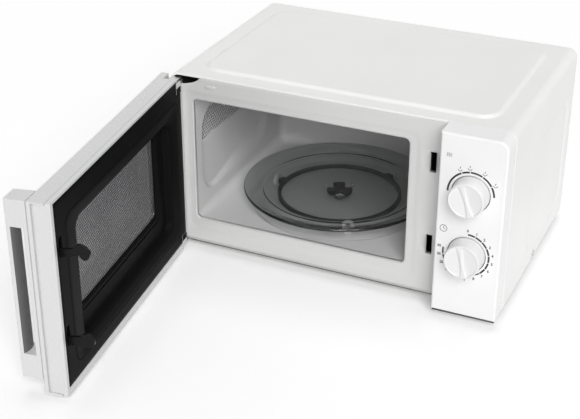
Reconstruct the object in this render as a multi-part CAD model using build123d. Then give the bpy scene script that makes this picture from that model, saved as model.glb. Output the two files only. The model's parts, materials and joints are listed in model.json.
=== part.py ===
from build123d import *
import math
import os

# Driving dimensions, in millimetres and degrees

# Cabinet
cabinet_width = 440.0
cabinet_depth = 284.0
cabinet_top = 243.0
bay_width = 124.6
foot_height = 11.5
sheet = 0.6
seam = 0.2
casing_corner = 12.0
cut_over = 1.0

# Raised panel on the casing's top and pressed panels in its sides
plateau_rise = 3.0
plateau_slope = 5.0
plateau_side_inset = 30.0
plateau_front_inset = 20.0
plateau_rear_inset = 23.0
plateau_corner = 26.0
side_panel_depth = 1.2
side_panel_slope = 3.0
side_panel_front_inset = 95.0
side_panel_rear_inset = 20.0
side_panel_bottom_inset = 22.0
side_panel_top_inset = 56.0
side_panel_corner = 25.0

# Feet, casing screws, rear vents and cord gland
foot_radius = 11.0
foot_taper = 1.5
foot_side_inset = 35.0
foot_end_inset = 27.0
screw_head_radius = 4.0
screw_head_height = 1.8
screw_edge_inset = 14.0
side_screw_rise = 7.0
side_screw_setback = 136.0
vent_slot_length = 74.0
vent_slot_width = 4.0
vent_slot_pitch = 9.0
vent_slot_count = 9
gland_radius = 7.0
gland_flange_radius = 10.5
gland_flange_thickness = 2.5
gland_bore_radius = 3.6
gland_inner_length = 8.0
gland_outer_length = 9.0
gland_right_inset = 30.0
gland_rise = 34.0

# Oven cavity
cavity_height = 167.5
cavity_rear_gap = 20.0
cavity_left_margin = 29.2
cavity_floor = 43.8
cavity_corner = 7.0
cavity_back_corner = 5.0
track_rim_inset = 9.5
track_depth = 4.4
pocket_depth = 4.0
pocket_front_inset = 23.0
pocket_length = 196.0
pocket_bottom_rise = 22.0
pocket_height = 120.0
pocket_corner = 34.0

# Air grille in the upper front corner of the pocket
grille_inset = 2.5
grille_reach = 127.0
grille_height = 46.0
grille_hole_radius = 1.8
grille_pitch = 4.5
grille_border = 1.2

# Oblong dimple pressed in the front frame
dimple_length = 15.0
dimple_width = 5.0
dimple_proud = 0.8
dimple_inset = 55.0
dimple_drop = 13.0

# Waveguide, its cover and the magnetron
magnetron_setback = 150.0
magnetron_level = 140.0
waveguide_reach = 28.0
waveguide_length = 90.0
waveguide_height = 64.0
waveguide_wall = 1.0
feed_length = 72.0
feed_height = 44.0
feed_cover_thickness = 0.6
feed_cover_border = 5.0
magnetron_length = 74.0
magnetron_depth = 92.0
magnetron_height = 80.0
magnetron_plate = 1.8
anode_radius = 19.0
antenna_radius = 9.0
antenna_length = 20.0
antenna_clearance = 1.0
fin_count = 7
fin_thickness = 0.6
cutout_radius = 7.0
cutout_height = 8.0

# Transformer
core_width = 92.0
core_stack = 64.0
core_height = 76.0
core_leg = 30.0
core_yoke = 15.0
coil_overhang = 14.0
coil_clearance = 0.3
primary_share = 0.55
transformer_setback = 107.0

# Capacitor, diode and line filter
capacitor_width = 54.0
capacitor_depth = 34.0
capacitor_height = 95.0
capacitor_corner = 16.0
capacitor_terminal_radius = 2.5
capacitor_terminal_height = 7.0
capacitor_gap = 5.4
clamp_wall = 1.2
clamp_height = 16.0
clamp_clearance = 0.1
clamp_tab = 9.0
diode_length = 22.0
diode_width = 8.0
diode_gap = 12.0
filter_length = 60.0
filter_depth = 36.0
filter_board = 1.6
filter_post_height = 6.0
filter_post_radius = 3.0
filter_choke_radius = 9.0
filter_choke_height = 16.0
filter_rear_gap = 8.0

# Fan
shroud_size = 100.0
shroud_depth = 25.0
fan_ring_radius = 46.0
fan_tip_gap = 3.0
fan_hub_radius = 14.0
fan_hub_length = 14.0
fan_hub_setback = 6.0
blade_count = 5
blade_chord = 22.0
blade_thickness = 1.6
blade_pitch_angle = 32.0
fan_shaft_radius = 2.0
fan_level = 168.0
bridge_depth = 6.0
bridge_height = 18.0
bridge_hole_clearance = 1.5
fan_motor_size = 42.0
fan_motor_depth = 22.0
fan_bore_depth = 16.0

# Cavity lamp
lamp_setback = 80.0
lamp_drop = 22.0
socket_size = 28.0
socket_reach = 24.0
socket_bore_radius = 10.5
bulb_radius = 7.0
bulb_length = 13.0
bulb_foot = 5.0
lamp_hole_radius = 2.2
lamp_hole_ring = 6.0
lamp_hole_count = 6

# Turntable
turntable_lead = 1.0
turntable_shift = 4.0
plate_side_gap = 15.0
plate_front_gap = 3.5
plate_thickness = 4.4
plate_slope_width = 22.5
plate_rim_rise = 4.6
plate_rim_width = 3.0
rib_radius = 2.4
rib_height = 2.6
rib_ring = 20.0
roller_radius = 8.0
roller_width = 5.5
roller_track_inset = 26.0
roller_gap = 0.2
roller_start_angle = 59.0
roller_count = 3
ring_roller_gap = 12.0
ring_width = 4.5
ring_height = 4.5
axle_radius = 2.0
axle_cap_radius = 3.0
axle_cap_length = 1.2
axle_play = 0.3
coupler_radius = 17.0
coupler_hub_radius = 8.5
coupler_lobe_width = 10.0
coupler_floor_gap = 1.0
coupler_turn = -6.0
spindle_radius = 3.0
spindle_hole_radius = 5.0
spindle_socket_depth = 10.0
motor_radius = 25.0
motor_height = 16.0
motor_bore_depth = 11.0
running_clearance = 0.05

# Control panel and knobs
panel_projection = 31.4
panel_width = 79.0
panel_side_inset = 0.5
panel_wall = 2.5
panel_edge = 2.5
knob_x_inset = 40.5
power_level = 172.5
timer_level = 94.0
well_radius = 23.3
well_depth = 1.8
knob_skirt_radius = 22.2
knob_skirt_height = 1.6
knob_shoulder_radius = 21.4
knob_face_radius = 20.6
knob_height = 20.0
knob_well_gap = 0.5
knob_edge = 1.2
grip_half_width = 2.2
grip_depth = 4.0
grip_radius = 18.4
knob_bore_depth = 12.0
shaft_radius = 3.0
shaft_hole_clearance = 1.5
shaft_grip_gap = 1.0
shaft_bearing_depth = 14.0
power_pointer = -19.0
timer_pointer = -11.0
timer_size = 50.0
timer_depth = 45.0
selector_size = 40.0
selector_depth = 34.0
frame_cutout_border = 8.0

# Latch slots, interlock bracket and switches
slot_panel_gap = 16.85
slot_width = 8.7
slot_height = 26.3
upper_slot_level = 187.5
lower_slot_level = 78.8
slot_corner = 1.0
bracket_gap = 3.0
bracket_wall = 2.5
bracket_reach = 52.0
bracket_margin = 13.0
bracket_flange = 7.0
switch_length = 20.0
switch_width = 12.5
switch_height = 9.6
switch_spacing = 11.0
plunger_radius = 1.75
plunger_proud = 3.0
plunger_seat = 4.0
plunger_travel = 1.2
hook_plunger_gap = 0.6

# Door
door_open_angle = 83.0
door_gap = 4.0
door_side_inset = 0.5
door_panel_gap = 2.0
door_drop = 4.5
door_top_gap = 1.0
front_skin = 5.4
skin_edge = 2.0
skin_overhang = 2.0
reveal_height = 2.5
reveal_depth = 2.0
skin_lip = 2.0
rim_width = 6.0
lip_seam = 0.4
rebate_height = 6.0
web_thickness = 2.0
lip_left = 5.5
lip_right = 5.0
lip_top = 3.0
lip_bottom = 8.0
cover_fit = 0.3
hinge_edge_radius = 5.0
hinge_inset = 9.5
hinge_setback = 12.5
pin_radius = 2.5
pin_length = 12.0
strap_half_width = 6.5
strap_thickness = 2.0
strap_lift = 1.5
strap_room = 2.0
strap_flange_height = 24.0
strap_tail = 30.0
notch_height = 7.5
lower_boss_gap = 1.0
boss_height = 12.5
frame_notch_width = 34.0
frame_notch_drop = 8.0

# Black choke cover: funnel, recess and screen window
cover_skin = 2.5
funnel_left = 12.0
funnel_right = 23.0
funnel_bottom = 17.0
funnel_top = 25.0
funnel_corner = 14.0
funnel_depth = 3.0
funnel_back = 3.0
recess_left = 35.0
recess_right = 52.5
recess_bottom = 30.0
recess_top = 44.0
recess_corner = 16.0
recess_depth = 12.0
recess_wall = 3.0
ledge = 2.0
screen_left = 65.0
screen_right = 65.5
screen_bottom = 64.0
screen_top = 49.0
screen_corner = 6.0
screen_thickness = 0.8
screen_border = 8.0
ridge_width = 1.4
ridge_height = 1.4
ridge_offset = 3.5
choke_side_border = 34.0
choke_rim_border = 24.0
window_border = 10.0
pane_border = 16.0
pane_thickness = 3.0
pane_corner = 8.0
pane_fit = 0.2

# Handle
handle_width = 21.5
handle_root_width = 24.5
handle_projection = 24.6
handle_bottom_gap = 18.0
handle_base = 5.0
handle_bar = 5.0
handle_lower_block = 30.0
handle_upper_block = 32.0
handle_edge = 1.5
grip_bulge = 3.5
grip_end_gap = 0.2

# Latch lever and spring
latch_thickness = 3.4
latch_lead = 1.15
latch_bar_depth = 14.0
latch_skin_gap = 0.5
latch_bar_end = 13.0
latch_lift = 5.0
hook_length = 33.0
hook_rise = 4.1
hook_drop = 12.6
hook_slot_gap = 1.0
cover_slot_width = 7.0
spring_radius = 4.5
spring_wall = 1.0
spring_gap = 0.3

# Places worked out from the driving dimensions
left_x = -cabinet_width / 2
right_x = cabinet_width / 2
front_y = -cabinet_depth / 2
rear_y = cabinet_depth / 2
base_z = foot_height
base_top = base_z + sheet
frame_back = front_y + sheet
rear_inner = rear_y - sheet
lining = sheet + seam

cavity_width = cabinet_width - cavity_left_margin - bay_width - 2 * sheet
cavity_depth = cabinet_depth - cavity_rear_gap
cavity_left = left_x + cavity_left_margin
cavity_right = cavity_left + cavity_width
cavity_ceiling = cavity_floor + cavity_height
cavity_back = front_y + cavity_depth
bay_left = cavity_right + sheet
bay_right = right_x - sheet
bay_middle = (bay_left + bay_right) / 2

pocket_front = front_y + pocket_front_inset
pocket_back = pocket_front + pocket_length
pocket_bottom = cavity_floor + pocket_bottom_rise
pocket_top = pocket_bottom + pocket_height
pocket_x = cavity_left - pocket_depth

magnetron_y = front_y + magnetron_setback
waveguide_right = bay_left + waveguide_reach
fan_y = rear_inner - shroud_depth
transformer_y = front_y + transformer_setback
filter_back = rear_inner - filter_rear_gap
filter_front = filter_back - filter_depth
capacitor_y = filter_front - capacitor_gap - capacitor_depth / 2
lamp_y = front_y + lamp_setback
lamp_z = cavity_ceiling - lamp_drop

turntable_setback = cavity_depth / 2 - turntable_lead
plate_radius = min(cavity_width / 2 - plate_side_gap, turntable_setback - plate_front_gap)
plate_flat_radius = plate_radius - plate_slope_width
track_radius = plate_radius - track_rim_inset
roller_track_radius = track_radius - roller_track_inset
ring_radius = roller_track_radius - ring_roller_gap
turntable_x = cavity_left + cavity_width / 2 + turntable_shift
turntable_y = front_y + turntable_setback
track_z = cavity_floor - track_depth
axle_z = track_z + roller_gap + roller_radius
plate_z = axle_z + roller_radius + roller_gap
motor_top = track_z - sheet
coupler_z = track_z + coupler_floor_gap

panel_right = right_x - panel_side_inset
panel_left = panel_right - panel_width
panel_front = front_y - panel_projection
panel_inner = panel_front + panel_wall
knob_x = right_x - knob_x_inset

slot_x = panel_left - slot_panel_gap
latch_x = slot_x - latch_lead
bracket_x = slot_x + slot_width / 2 + bracket_gap

door_left = left_x + door_side_inset
door_right = panel_left - door_panel_gap
door_bottom = base_z - door_drop
door_top = cabinet_top - door_top_gap
door_inner = front_y - door_gap
door_outer = panel_front
skin_back = door_outer + front_skin
frame_front = skin_back + reveal_height
web_back = frame_front + web_thickness
rim_front = door_inner - rim_width
frame_low = door_bottom + skin_lip + seam
frame_high = door_top - skin_lip - seam
door_frame_right = door_right - skin_overhang
hinge_x = door_left + hinge_inset
hinge_y = front_y - hinge_setback
hinge_axis = Axis((hinge_x, hinge_y, 0), (0, 0, -1))

cover_left = door_left + lip_left
cover_right = door_frame_right - lip_right
cover_bottom = door_bottom + lip_bottom
cover_top = door_top - lip_top
tray_low = cover_bottom + rebate_height
tray_high = cover_top - rebate_height
upper_boss_top = door_top - notch_height
upper_boss_bottom = upper_boss_top - boss_height
lower_boss_bottom = base_z + lower_boss_gap
lower_boss_top = lower_boss_bottom + boss_height
boss_right = hinge_x + strap_half_width + strap_room
strap_bottom = upper_boss_top + strap_lift
strap_top = strap_bottom + strap_thickness
notch_front = hinge_y - strap_half_width - strap_room

recess_floor = door_inner - recess_depth
screen_front = recess_floor - ledge
screen_back = screen_front - screen_thickness
screen_x0 = cover_left + screen_left
screen_x1 = cover_right - screen_right
screen_z0 = cover_bottom + screen_bottom
screen_z1 = cover_top - screen_top

hook_tip = door_inner + hook_length
switch_front = hook_tip + hook_plunger_gap + plunger_proud
handle_right = door_right
handle_left = handle_right - handle_width
handle_outer = door_outer - handle_projection
handle_bottom = door_bottom + handle_bottom_gap
grip_bottom = handle_bottom + handle_lower_block
grip_top = door_top - handle_upper_block
grip_face = handle_outer + handle_bar


def block(x0, x1, y0, y1, z0, z1):
    """Box between two corners."""
    middle = Pos((x0 + x1) / 2, (y0 + y1) / 2, (z0 + z1) / 2)
    return middle * Box(x1 - x0, y1 - y0, z1 - z0)


def rod(start, direction, radius, length):
    """Cylinder from a point along a direction."""
    return extrude(Plane(origin=start, z_dir=direction) * Circle(radius), length)


def facing_front(x0, x1, z0, z1, radius, y0, y1):
    """Upright slab, parallel to the front, with rounded corners."""
    plane = Plane(origin=((x0 + x1) / 2, y0, (z0 + z1) / 2), x_dir=(1, 0, 0), z_dir=(0, 1, 0))
    return extrude(plane * RectangleRounded(x1 - x0, z1 - z0, radius), y1 - y0)


def facing_side(y0, y1, z0, z1, radius, x0, x1):
    """Upright slab, parallel to a side, with rounded corners."""
    plane = Plane(origin=(x0, (y0 + y1) / 2, (z0 + z1) / 2), x_dir=(0, 1, 0), z_dir=(1, 0, 0))
    return extrude(plane * RectangleRounded(y1 - y0, z1 - z0, radius), x1 - x0)


def lying_flat(x0, x1, y0, y1, radius, z0, z1):
    """Level slab with rounded corners."""
    plane = Plane(origin=((x0 + x1) / 2, (y0 + y1) / 2, z0))
    return extrude(plane * RectangleRounded(x1 - x0, y1 - y0, radius), z1 - z0)


def tapered(plane, width, height, corner, run, rise):
    """Low frustum: a rounded rectangle on a plane, drawn in by a run over a rise."""
    low = plane * RectangleRounded(width, height, corner)
    high = plane.offset(rise) * RectangleRounded(width - 2 * run, height - 2 * run, corner - run)
    return loft([low, high])


def arch(inset, y0, y1, z0):
    """Block of the cabinet's outline, inset all round, with its two top corners rounded."""
    body = block(left_x + inset, right_x - inset, y0, y1, z0, cabinet_top - inset)
    corners = body.edges().filter_by(Axis.Y).group_by(Axis.Z)[-1]
    return fillet(corners, casing_corner - inset)


def casing_plateau(inset):
    """Raised panel of the casing's top, inset by the sheet for its underside."""
    width = cabinet_width - 2 * plateau_side_inset - 2 * inset
    length = cabinet_depth - plateau_front_inset - plateau_rear_inset - 2 * inset
    middle_y = (plateau_front_inset - plateau_rear_inset) / 2
    plane = Plane(origin=(0, middle_y, cabinet_top - inset))
    return tapered(plane, width, length, plateau_corner - inset, plateau_slope, plateau_rise)


def side_panel(side, inset):
    """Pressed panel of one casing side, grown by the sheet for its inner face."""
    y0 = front_y + side_panel_front_inset - inset
    y1 = rear_y - side_panel_rear_inset + inset
    z0 = base_z + side_panel_bottom_inset - inset
    z1 = cabinet_top - side_panel_top_inset + inset
    origin = (side * (right_x - inset), (y0 + y1) / 2, (z0 + z1) / 2)
    plane = Plane(origin=origin, x_dir=(0, 1, 0), z_dir=(-side, 0, 0))
    corner = side_panel_corner + inset
    return tapered(plane, y1 - y0, z1 - z0, corner, side_panel_slope, side_panel_depth)


def make_outer_casing():
    """Wrapped sheet: top and two sides, with the raised and pressed panels."""
    outside = arch(0, front_y, rear_y, base_z) + casing_plateau(0)
    inside = arch(sheet, front_y - cut_over, rear_y + cut_over, base_z - cut_over)
    inside = inside + casing_plateau(sheet)
    for side in (-1, 1):
        outside = outside - side_panel(side, 0)
        inside = inside - side_panel(side, sheet)
    return outside - inside


def make_base_plate():
    return block(left_x + lining, right_x - lining, front_y, rear_y, base_z, base_top)


def make_rear_panel():
    """Rear sheet with vent slots behind the fan and a hole for the cord gland."""
    panel = arch(lining, rear_inner, rear_y, base_top)
    first = fan_level - vent_slot_pitch * (vent_slot_count - 1) / 2
    half_length = vent_slot_length / 2
    half_width = vent_slot_width / 2
    for index in range(vent_slot_count):
        level = first + index * vent_slot_pitch
        panel = panel - facing_front(
            bay_middle - half_length, bay_middle + half_length,
            level - half_width, level + half_width, half_width * 0.98,
            rear_inner - cut_over, rear_y + cut_over)
    return panel - rod(gland_place(rear_inner - cut_over), (0, 1, 0), gland_radius, sheet + 2 * cut_over)


def gland_place(y):
    return (right_x - gland_right_inset, y, base_top + gland_rise)


def make_cord_gland():
    """Flanged bush with the cord's bore, held in the rear panel."""
    inner_end = rear_inner - gland_inner_length
    length = gland_inner_length + sheet + gland_outer_length
    bush = rod(gland_place(inner_end), (0, 1, 0), gland_radius - running_clearance, length)
    bush = bush + rod(gland_place(rear_y), (0, 1, 0), gland_flange_radius, gland_flange_thickness)
    bore = rod(gland_place(inner_end - cut_over), (0, 1, 0), gland_bore_radius, length + 2 * cut_over)
    return bush - bore


def make_front_frame():
    """Sheet round the cavity mouth, open behind the control panel and at the upper hinge."""
    plate = arch(lining, front_y, frame_back, base_top)
    y0 = front_y - cut_over
    y1 = frame_back + cut_over
    plate = plate - facing_front(
        cavity_left, cavity_right, cavity_floor, cavity_ceiling, cavity_corner, y0, y1)
    for level in (upper_slot_level, lower_slot_level):
        plate = plate - facing_front(
            slot_x - slot_width / 2, slot_x + slot_width / 2,
            level - slot_height / 2, level + slot_height / 2, slot_corner, y0, y1)
    plate = plate - block(
        panel_left + frame_cutout_border, panel_right - frame_cutout_border, y0, y1,
        base_top + frame_cutout_border, cabinet_top - frame_cutout_border)
    plate = plate - block(
        left_x, left_x + frame_notch_width, y0, y1, cabinet_top - frame_notch_drop, cabinet_top)
    dimple_place = Plane(
        origin=(left_x + dimple_inset, front_y, cabinet_top - dimple_drop), x_dir=(1, 0, 0), z_dir=(0, -1, 0))
    return plate + extrude(dimple_place * SlotOverall(dimple_length, dimple_width), dimple_proud)


def cavity_block(grow, y0, y1):
    """The cavity's room grown by a wall, with its long corners and its back edges rounded."""
    room = facing_front(
        cavity_left - grow, cavity_right + grow, cavity_floor - grow, cavity_ceiling + grow,
        cavity_corner + grow, y0, y1)
    return fillet(room.edges().group_by(Axis.Y)[-1], cavity_back_corner + grow)


def make_oven_cavity():
    """Sheet box with the roller track in its floor, the left pocket and its windows."""
    shell = cavity_block(sheet, frame_back, cavity_back + sheet)
    track_place = (turntable_x, turntable_y, track_z - sheet)
    shell = shell + rod(track_place, (0, 0, 1), track_radius + sheet, track_depth)
    shell = shell + facing_side(
        pocket_front - sheet, pocket_back + sheet, pocket_bottom - sheet, pocket_top + sheet,
        pocket_corner + sheet, pocket_x - sheet, cavity_left)
    shell = shell - cavity_block(0, frame_back - cut_over, cavity_back)
    floor_place = (turntable_x, turntable_y, track_z)
    shell = shell - rod(floor_place, (0, 0, 1), track_radius, track_depth + cut_over)
    shell = shell - facing_side(
        pocket_front, pocket_back, pocket_bottom, pocket_top, pocket_corner,
        pocket_x, cavity_left + cut_over)
    window_plane = grille_plane(pocket_x - sheet - cut_over)
    shell = shell - extrude(window_plane * grille_outline(0), sheet + 2 * cut_over)
    shell = shell - block(
        cavity_right - cut_over, bay_left + cut_over,
        magnetron_y - feed_length / 2, magnetron_y + feed_length / 2,
        magnetron_level - feed_height / 2, magnetron_level + feed_height / 2)
    hole_place = (turntable_x, turntable_y, track_z - sheet - cut_over)
    shell = shell - rod(hole_place, (0, 0, 1), spindle_hole_radius, sheet + 2 * cut_over)
    for index in range(lamp_hole_count):
        turn = 2 * math.pi * index / lamp_hole_count
        hole_y = lamp_y + lamp_hole_ring * math.cos(turn)
        hole_z = lamp_z + lamp_hole_ring * math.sin(turn)
        start = (cavity_right - cut_over, hole_y, hole_z)
        shell = shell - rod(start, (1, 0, 0), lamp_hole_radius, sheet + 2 * cut_over)
    return shell


def grille_plane(x):
    """Plane parallel to the left wall, with its middle at the middle of the pocket."""
    middle = (x, (pocket_front + pocket_back) / 2, (pocket_bottom + pocket_top) / 2)
    return Plane(origin=middle, x_dir=(0, 1, 0), z_dir=(1, 0, 0))


def grille_outline(inset):
    """The pocket's outline drawn in, cut off below and behind the grille."""
    drawn_in = grille_inset + inset
    outline = RectangleRounded(
        pocket_length - 2 * drawn_in, pocket_height - 2 * drawn_in, pocket_corner - drawn_in)
    reach = grille_reach - inset
    height = grille_height - inset
    kept = Pos((reach - pocket_length) / 2, (pocket_height - height) / 2) * Rectangle(reach, height)
    return outline & kept


def grille_holes():
    """Centres of holes in rows set half a step apart, clear of the grille's edges."""
    margin = grille_inset + grille_border + grille_hole_radius
    front = margin - pocket_length / 2
    back = grille_reach - pocket_length / 2 - grille_border - grille_hole_radius
    top = pocket_height / 2 - margin
    bottom = pocket_height / 2 - grille_height + grille_border + grille_hole_radius
    corner = pocket_corner - margin
    row_step = grille_pitch * math.sqrt(3) / 2
    centres = []
    for row in range(int((top - bottom) / row_step) + 1):
        up = bottom + row * row_step
        along = front + (row % 2) * grille_pitch / 2
        while along <= back:
            past_front = front + corner - along
            past_top = up - top + corner
            in_corner = past_front > 0 and past_top > 0
            if not in_corner or math.hypot(past_front, past_top) <= corner:
                centres.append((along, up))
            along = along + grille_pitch
    return centres


def make_air_grille():
    """Perforated sheet that fills the window in the cavity's left pocket."""
    holes = [Pos(along, up) * Circle(grille_hole_radius) for along, up in grille_holes()]
    return extrude(grille_plane(pocket_x - sheet) * (grille_outline(seam) - holes), sheet)


def make_waveguide():
    """Sheet box on the cavity's right wall, open to the feed window, with the antenna's hole."""
    half_length = waveguide_length / 2
    half_height = waveguide_height / 2
    tube = block(
        bay_left, waveguide_right, magnetron_y - half_length, magnetron_y + half_length,
        magnetron_level - half_height, magnetron_level + half_height)
    inside = half_length - waveguide_wall
    inside_up = half_height - waveguide_wall
    tube = tube - block(
        bay_left - cut_over, waveguide_right - waveguide_wall, magnetron_y - inside, magnetron_y + inside,
        magnetron_level - inside_up, magnetron_level + inside_up)
    hole_start = (waveguide_right - waveguide_wall - cut_over, magnetron_y, magnetron_level)
    hole_radius = antenna_radius + antenna_clearance
    return tube - rod(hole_start, (1, 0, 0), hole_radius, waveguide_wall + 2 * cut_over)


def make_waveguide_cover():
    half_length = feed_length / 2 + feed_cover_border
    half_height = feed_height / 2 + feed_cover_border
    return block(
        cavity_right - feed_cover_thickness, cavity_right,
        magnetron_y - half_length, magnetron_y + half_length,
        magnetron_level - half_height, magnetron_level + half_height)


def make_magnetron():
    """Yoke, anode and cooling fins, with the antenna reaching into the waveguide."""
    x0 = waveguide_right
    x1 = x0 + magnetron_length
    half_depth = magnetron_depth / 2
    half_height = magnetron_height / 2
    yoke = block(
        x0, x1, magnetron_y - half_depth, magnetron_y + half_depth,
        magnetron_level - half_height, magnetron_level + half_height)
    yoke = yoke - block(
        x0 + magnetron_plate, x1 - magnetron_plate,
        magnetron_y - half_depth - cut_over, magnetron_y + half_depth + cut_over,
        magnetron_level - half_height + magnetron_plate, magnetron_level + half_height - magnetron_plate)
    body = yoke + rod((x0, magnetron_y, magnetron_level), (1, 0, 0), anode_radius, magnetron_length)
    step = (magnetron_length - 2 * magnetron_plate) / (fin_count + 1)
    for index in range(fin_count):
        fin_x = x0 + magnetron_plate + step * (index + 1)
        body = body + block(
            fin_x - fin_thickness / 2, fin_x + fin_thickness / 2,
            magnetron_y - half_depth, magnetron_y + half_depth,
            magnetron_level - half_height, magnetron_level + half_height)
    antenna_start = (x0 - antenna_length, magnetron_y, magnetron_level)
    return body + rod(antenna_start, (1, 0, 0), antenna_radius, antenna_length)


def make_thermal_cutout():
    """Disc sensor on top of the waveguide."""
    place = (bay_left + waveguide_reach / 2, magnetron_y, magnetron_level + waveguide_height / 2)
    return rod(place, (0, 0, 1), cutout_radius, cutout_height)


def core_window_edges():
    """Half widths of the core's middle leg and of the outside of its windows."""
    inner = core_leg / 2
    outer = core_width / 2 - core_yoke
    return inner, outer


def make_transformer_core():
    """Stacked laminations with two windows beside the middle leg."""
    inner, outer = core_window_edges()
    half_stack = core_stack / 2
    core = block(
        bay_middle - core_width / 2, bay_middle + core_width / 2,
        transformer_y - half_stack, transformer_y + half_stack, base_top, base_top + core_height)
    for side in (-1, 1):
        near = bay_middle + side * inner
        far = bay_middle + side * outer
        core = core - block(
            min(near, far), max(near, far),
            transformer_y - half_stack - cut_over, transformer_y + half_stack + cut_over,
            base_top + core_yoke, base_top + core_height - core_yoke)
    return core


def make_coil(z0, z1):
    """Winding round the middle leg, seen as its outer form."""
    inner, outer = core_window_edges()
    inner = inner + coil_clearance
    outer = outer - coil_clearance
    inner_y = core_stack / 2 + coil_clearance
    outer_y = core_stack / 2 + coil_overhang
    ring = lying_flat(
        bay_middle - outer, bay_middle + outer, transformer_y - outer_y, transformer_y + outer_y,
        coil_overhang / 2, z0, z1)
    return ring - block(
        bay_middle - inner, bay_middle + inner, transformer_y - inner_y, transformer_y + inner_y,
        z0 - cut_over, z1 + cut_over)


def make_transformer_coils():
    low = base_top + core_yoke + coil_clearance
    high = base_top + core_height - core_yoke - coil_clearance
    parting = low + (high - low) * primary_share
    primary = make_coil(low, parting - coil_clearance)
    secondary = make_coil(parting + coil_clearance, high)
    return primary + secondary


def make_capacitor():
    """Oval can with two terminals."""
    half_width = capacitor_width / 2
    half_depth = capacitor_depth / 2
    top = base_top + capacitor_height
    can = lying_flat(
        bay_middle - half_width, bay_middle + half_width,
        capacitor_y - half_depth, capacitor_y + half_depth, capacitor_corner, base_top, top)
    for side in (-1, 1):
        place = (bay_middle + side * half_width / 2, capacitor_y, top)
        can = can + rod(place, (0, 0, 1), capacitor_terminal_radius, capacitor_terminal_height)
    return can


def make_capacitor_clamp():
    """Strap round the foot of the capacitor, with a tab on the base plate."""
    gap = clamp_clearance
    grown = gap + clamp_wall
    half_width = capacitor_width / 2
    half_depth = capacitor_depth / 2
    strap = lying_flat(
        bay_middle - half_width - grown, bay_middle + half_width + grown,
        capacitor_y - half_depth - grown, capacitor_y + half_depth + grown,
        capacitor_corner + grown, base_top, base_top + clamp_height)
    strap = strap + block(
        bay_middle + half_width, bay_middle + half_width + grown + clamp_tab,
        capacitor_y - half_depth / 2, capacitor_y + half_depth / 2, base_top, base_top + clamp_wall)
    return strap - lying_flat(
        bay_middle - half_width - gap, bay_middle + half_width + gap,
        capacitor_y - half_depth - gap, capacitor_y + half_depth + gap,
        capacitor_corner + gap, base_top - cut_over, base_top + clamp_height + cut_over)


def make_diode():
    """Potted rectifier on the base plate, in front of the capacitor."""
    y1 = capacitor_y - capacitor_depth / 2 - diode_gap
    return block(
        bay_middle - diode_length / 2, bay_middle + diode_length / 2,
        y1 - diode_width, y1, base_top, base_top + diode_width)


def make_line_filter():
    """Small board on four posts, with its round choke."""
    x0 = bay_left + filter_rear_gap
    x1 = x0 + filter_length
    y0 = filter_front
    y1 = filter_back
    board_z = base_top + filter_post_height
    board_top = board_z + filter_board
    board = block(x0, x1, y0, y1, board_z, board_top)
    for post_x in (x0 + filter_post_radius, x1 - filter_post_radius):
        for post_y in (y0 + filter_post_radius, y1 - filter_post_radius):
            board = board + rod((post_x, post_y, base_top), (0, 0, 1), filter_post_radius, filter_post_height)
    choke_place = ((x0 + x1) / 2, (y0 + y1) / 2, board_top)
    return board + rod(choke_place, (0, 0, 1), filter_choke_radius, filter_choke_height)


def make_fan_shroud():
    """Square housing on the rear panel, with the fan's ring and the bridge for its motor."""
    half = shroud_size / 2
    box = block(bay_middle - half, bay_middle + half, fan_y, rear_inner, fan_level - half, fan_level + half)
    ring_start = (bay_middle, fan_y - cut_over, fan_level)
    box = box - rod(ring_start, (0, 1, 0), fan_ring_radius, shroud_depth + 2 * cut_over)
    box = box + block(
        bay_middle - half, bay_middle + half, fan_y - bridge_depth, fan_y,
        fan_level - bridge_height / 2, fan_level + bridge_height / 2)
    hole_start = (bay_middle, fan_y - bridge_depth - cut_over, fan_level)
    hole_radius = fan_shaft_radius + bridge_hole_clearance
    return box - rod(hole_start, (0, 1, 0), hole_radius, bridge_depth + 2 * cut_over)


def make_fan_motor():
    """Square stator on the bridge, with the bearing for the fan's shaft."""
    half = fan_motor_size / 2
    y1 = fan_y - bridge_depth
    body = block(
        bay_middle - half, bay_middle + half, y1 - fan_motor_depth, y1, fan_level - half, fan_level + half)
    bore_start = (bay_middle, y1 - fan_bore_depth, fan_level)
    return body - rod(bore_start, (0, 1, 0), fan_shaft_radius + running_clearance, fan_bore_depth + cut_over)


def make_fan_blade():
    """Hub with pitched blades on its shaft."""
    hub_y = fan_y + fan_hub_setback
    tip_radius = fan_ring_radius - fan_tip_gap
    fan = rod((bay_middle, hub_y, fan_level), (0, 1, 0), fan_hub_radius, fan_hub_length)
    blade_length = tip_radius - fan_hub_radius / 2
    blade_middle = (tip_radius + fan_hub_radius / 2) / 2
    blade = Rot(0, 0, blade_pitch_angle) * Box(blade_chord, blade_thickness, blade_length)
    trim = Rot(90, 0, 0) * Cylinder(tip_radius, 4 * blade_chord)
    for index in range(blade_count):
        turned = Rot(0, 360 * index / blade_count, 0) * (Pos(0, 0, blade_middle) * blade)
        placed = Pos(bay_middle, hub_y + fan_hub_length / 2, fan_level) * (turned & trim)
        fan = fan + placed
    shaft_start = fan_y - bridge_depth - fan_bore_depth + cut_over
    shaft_place = (bay_middle, shaft_start, fan_level)
    return fan + rod(shaft_place, (0, 1, 0), fan_shaft_radius, hub_y - shaft_start)


def make_lamp_socket():
    """Cup on the cavity's right wall that holds the lamp behind its holes."""
    half = socket_size / 2
    cup = block(bay_left, bay_left + socket_reach, lamp_y - half, lamp_y + half, lamp_z - half, lamp_z + half)
    bore_start = (bay_left - cut_over, lamp_y, lamp_z)
    return cup - rod(bore_start, (1, 0, 0), socket_bore_radius, socket_reach - bulb_foot + cut_over)


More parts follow.
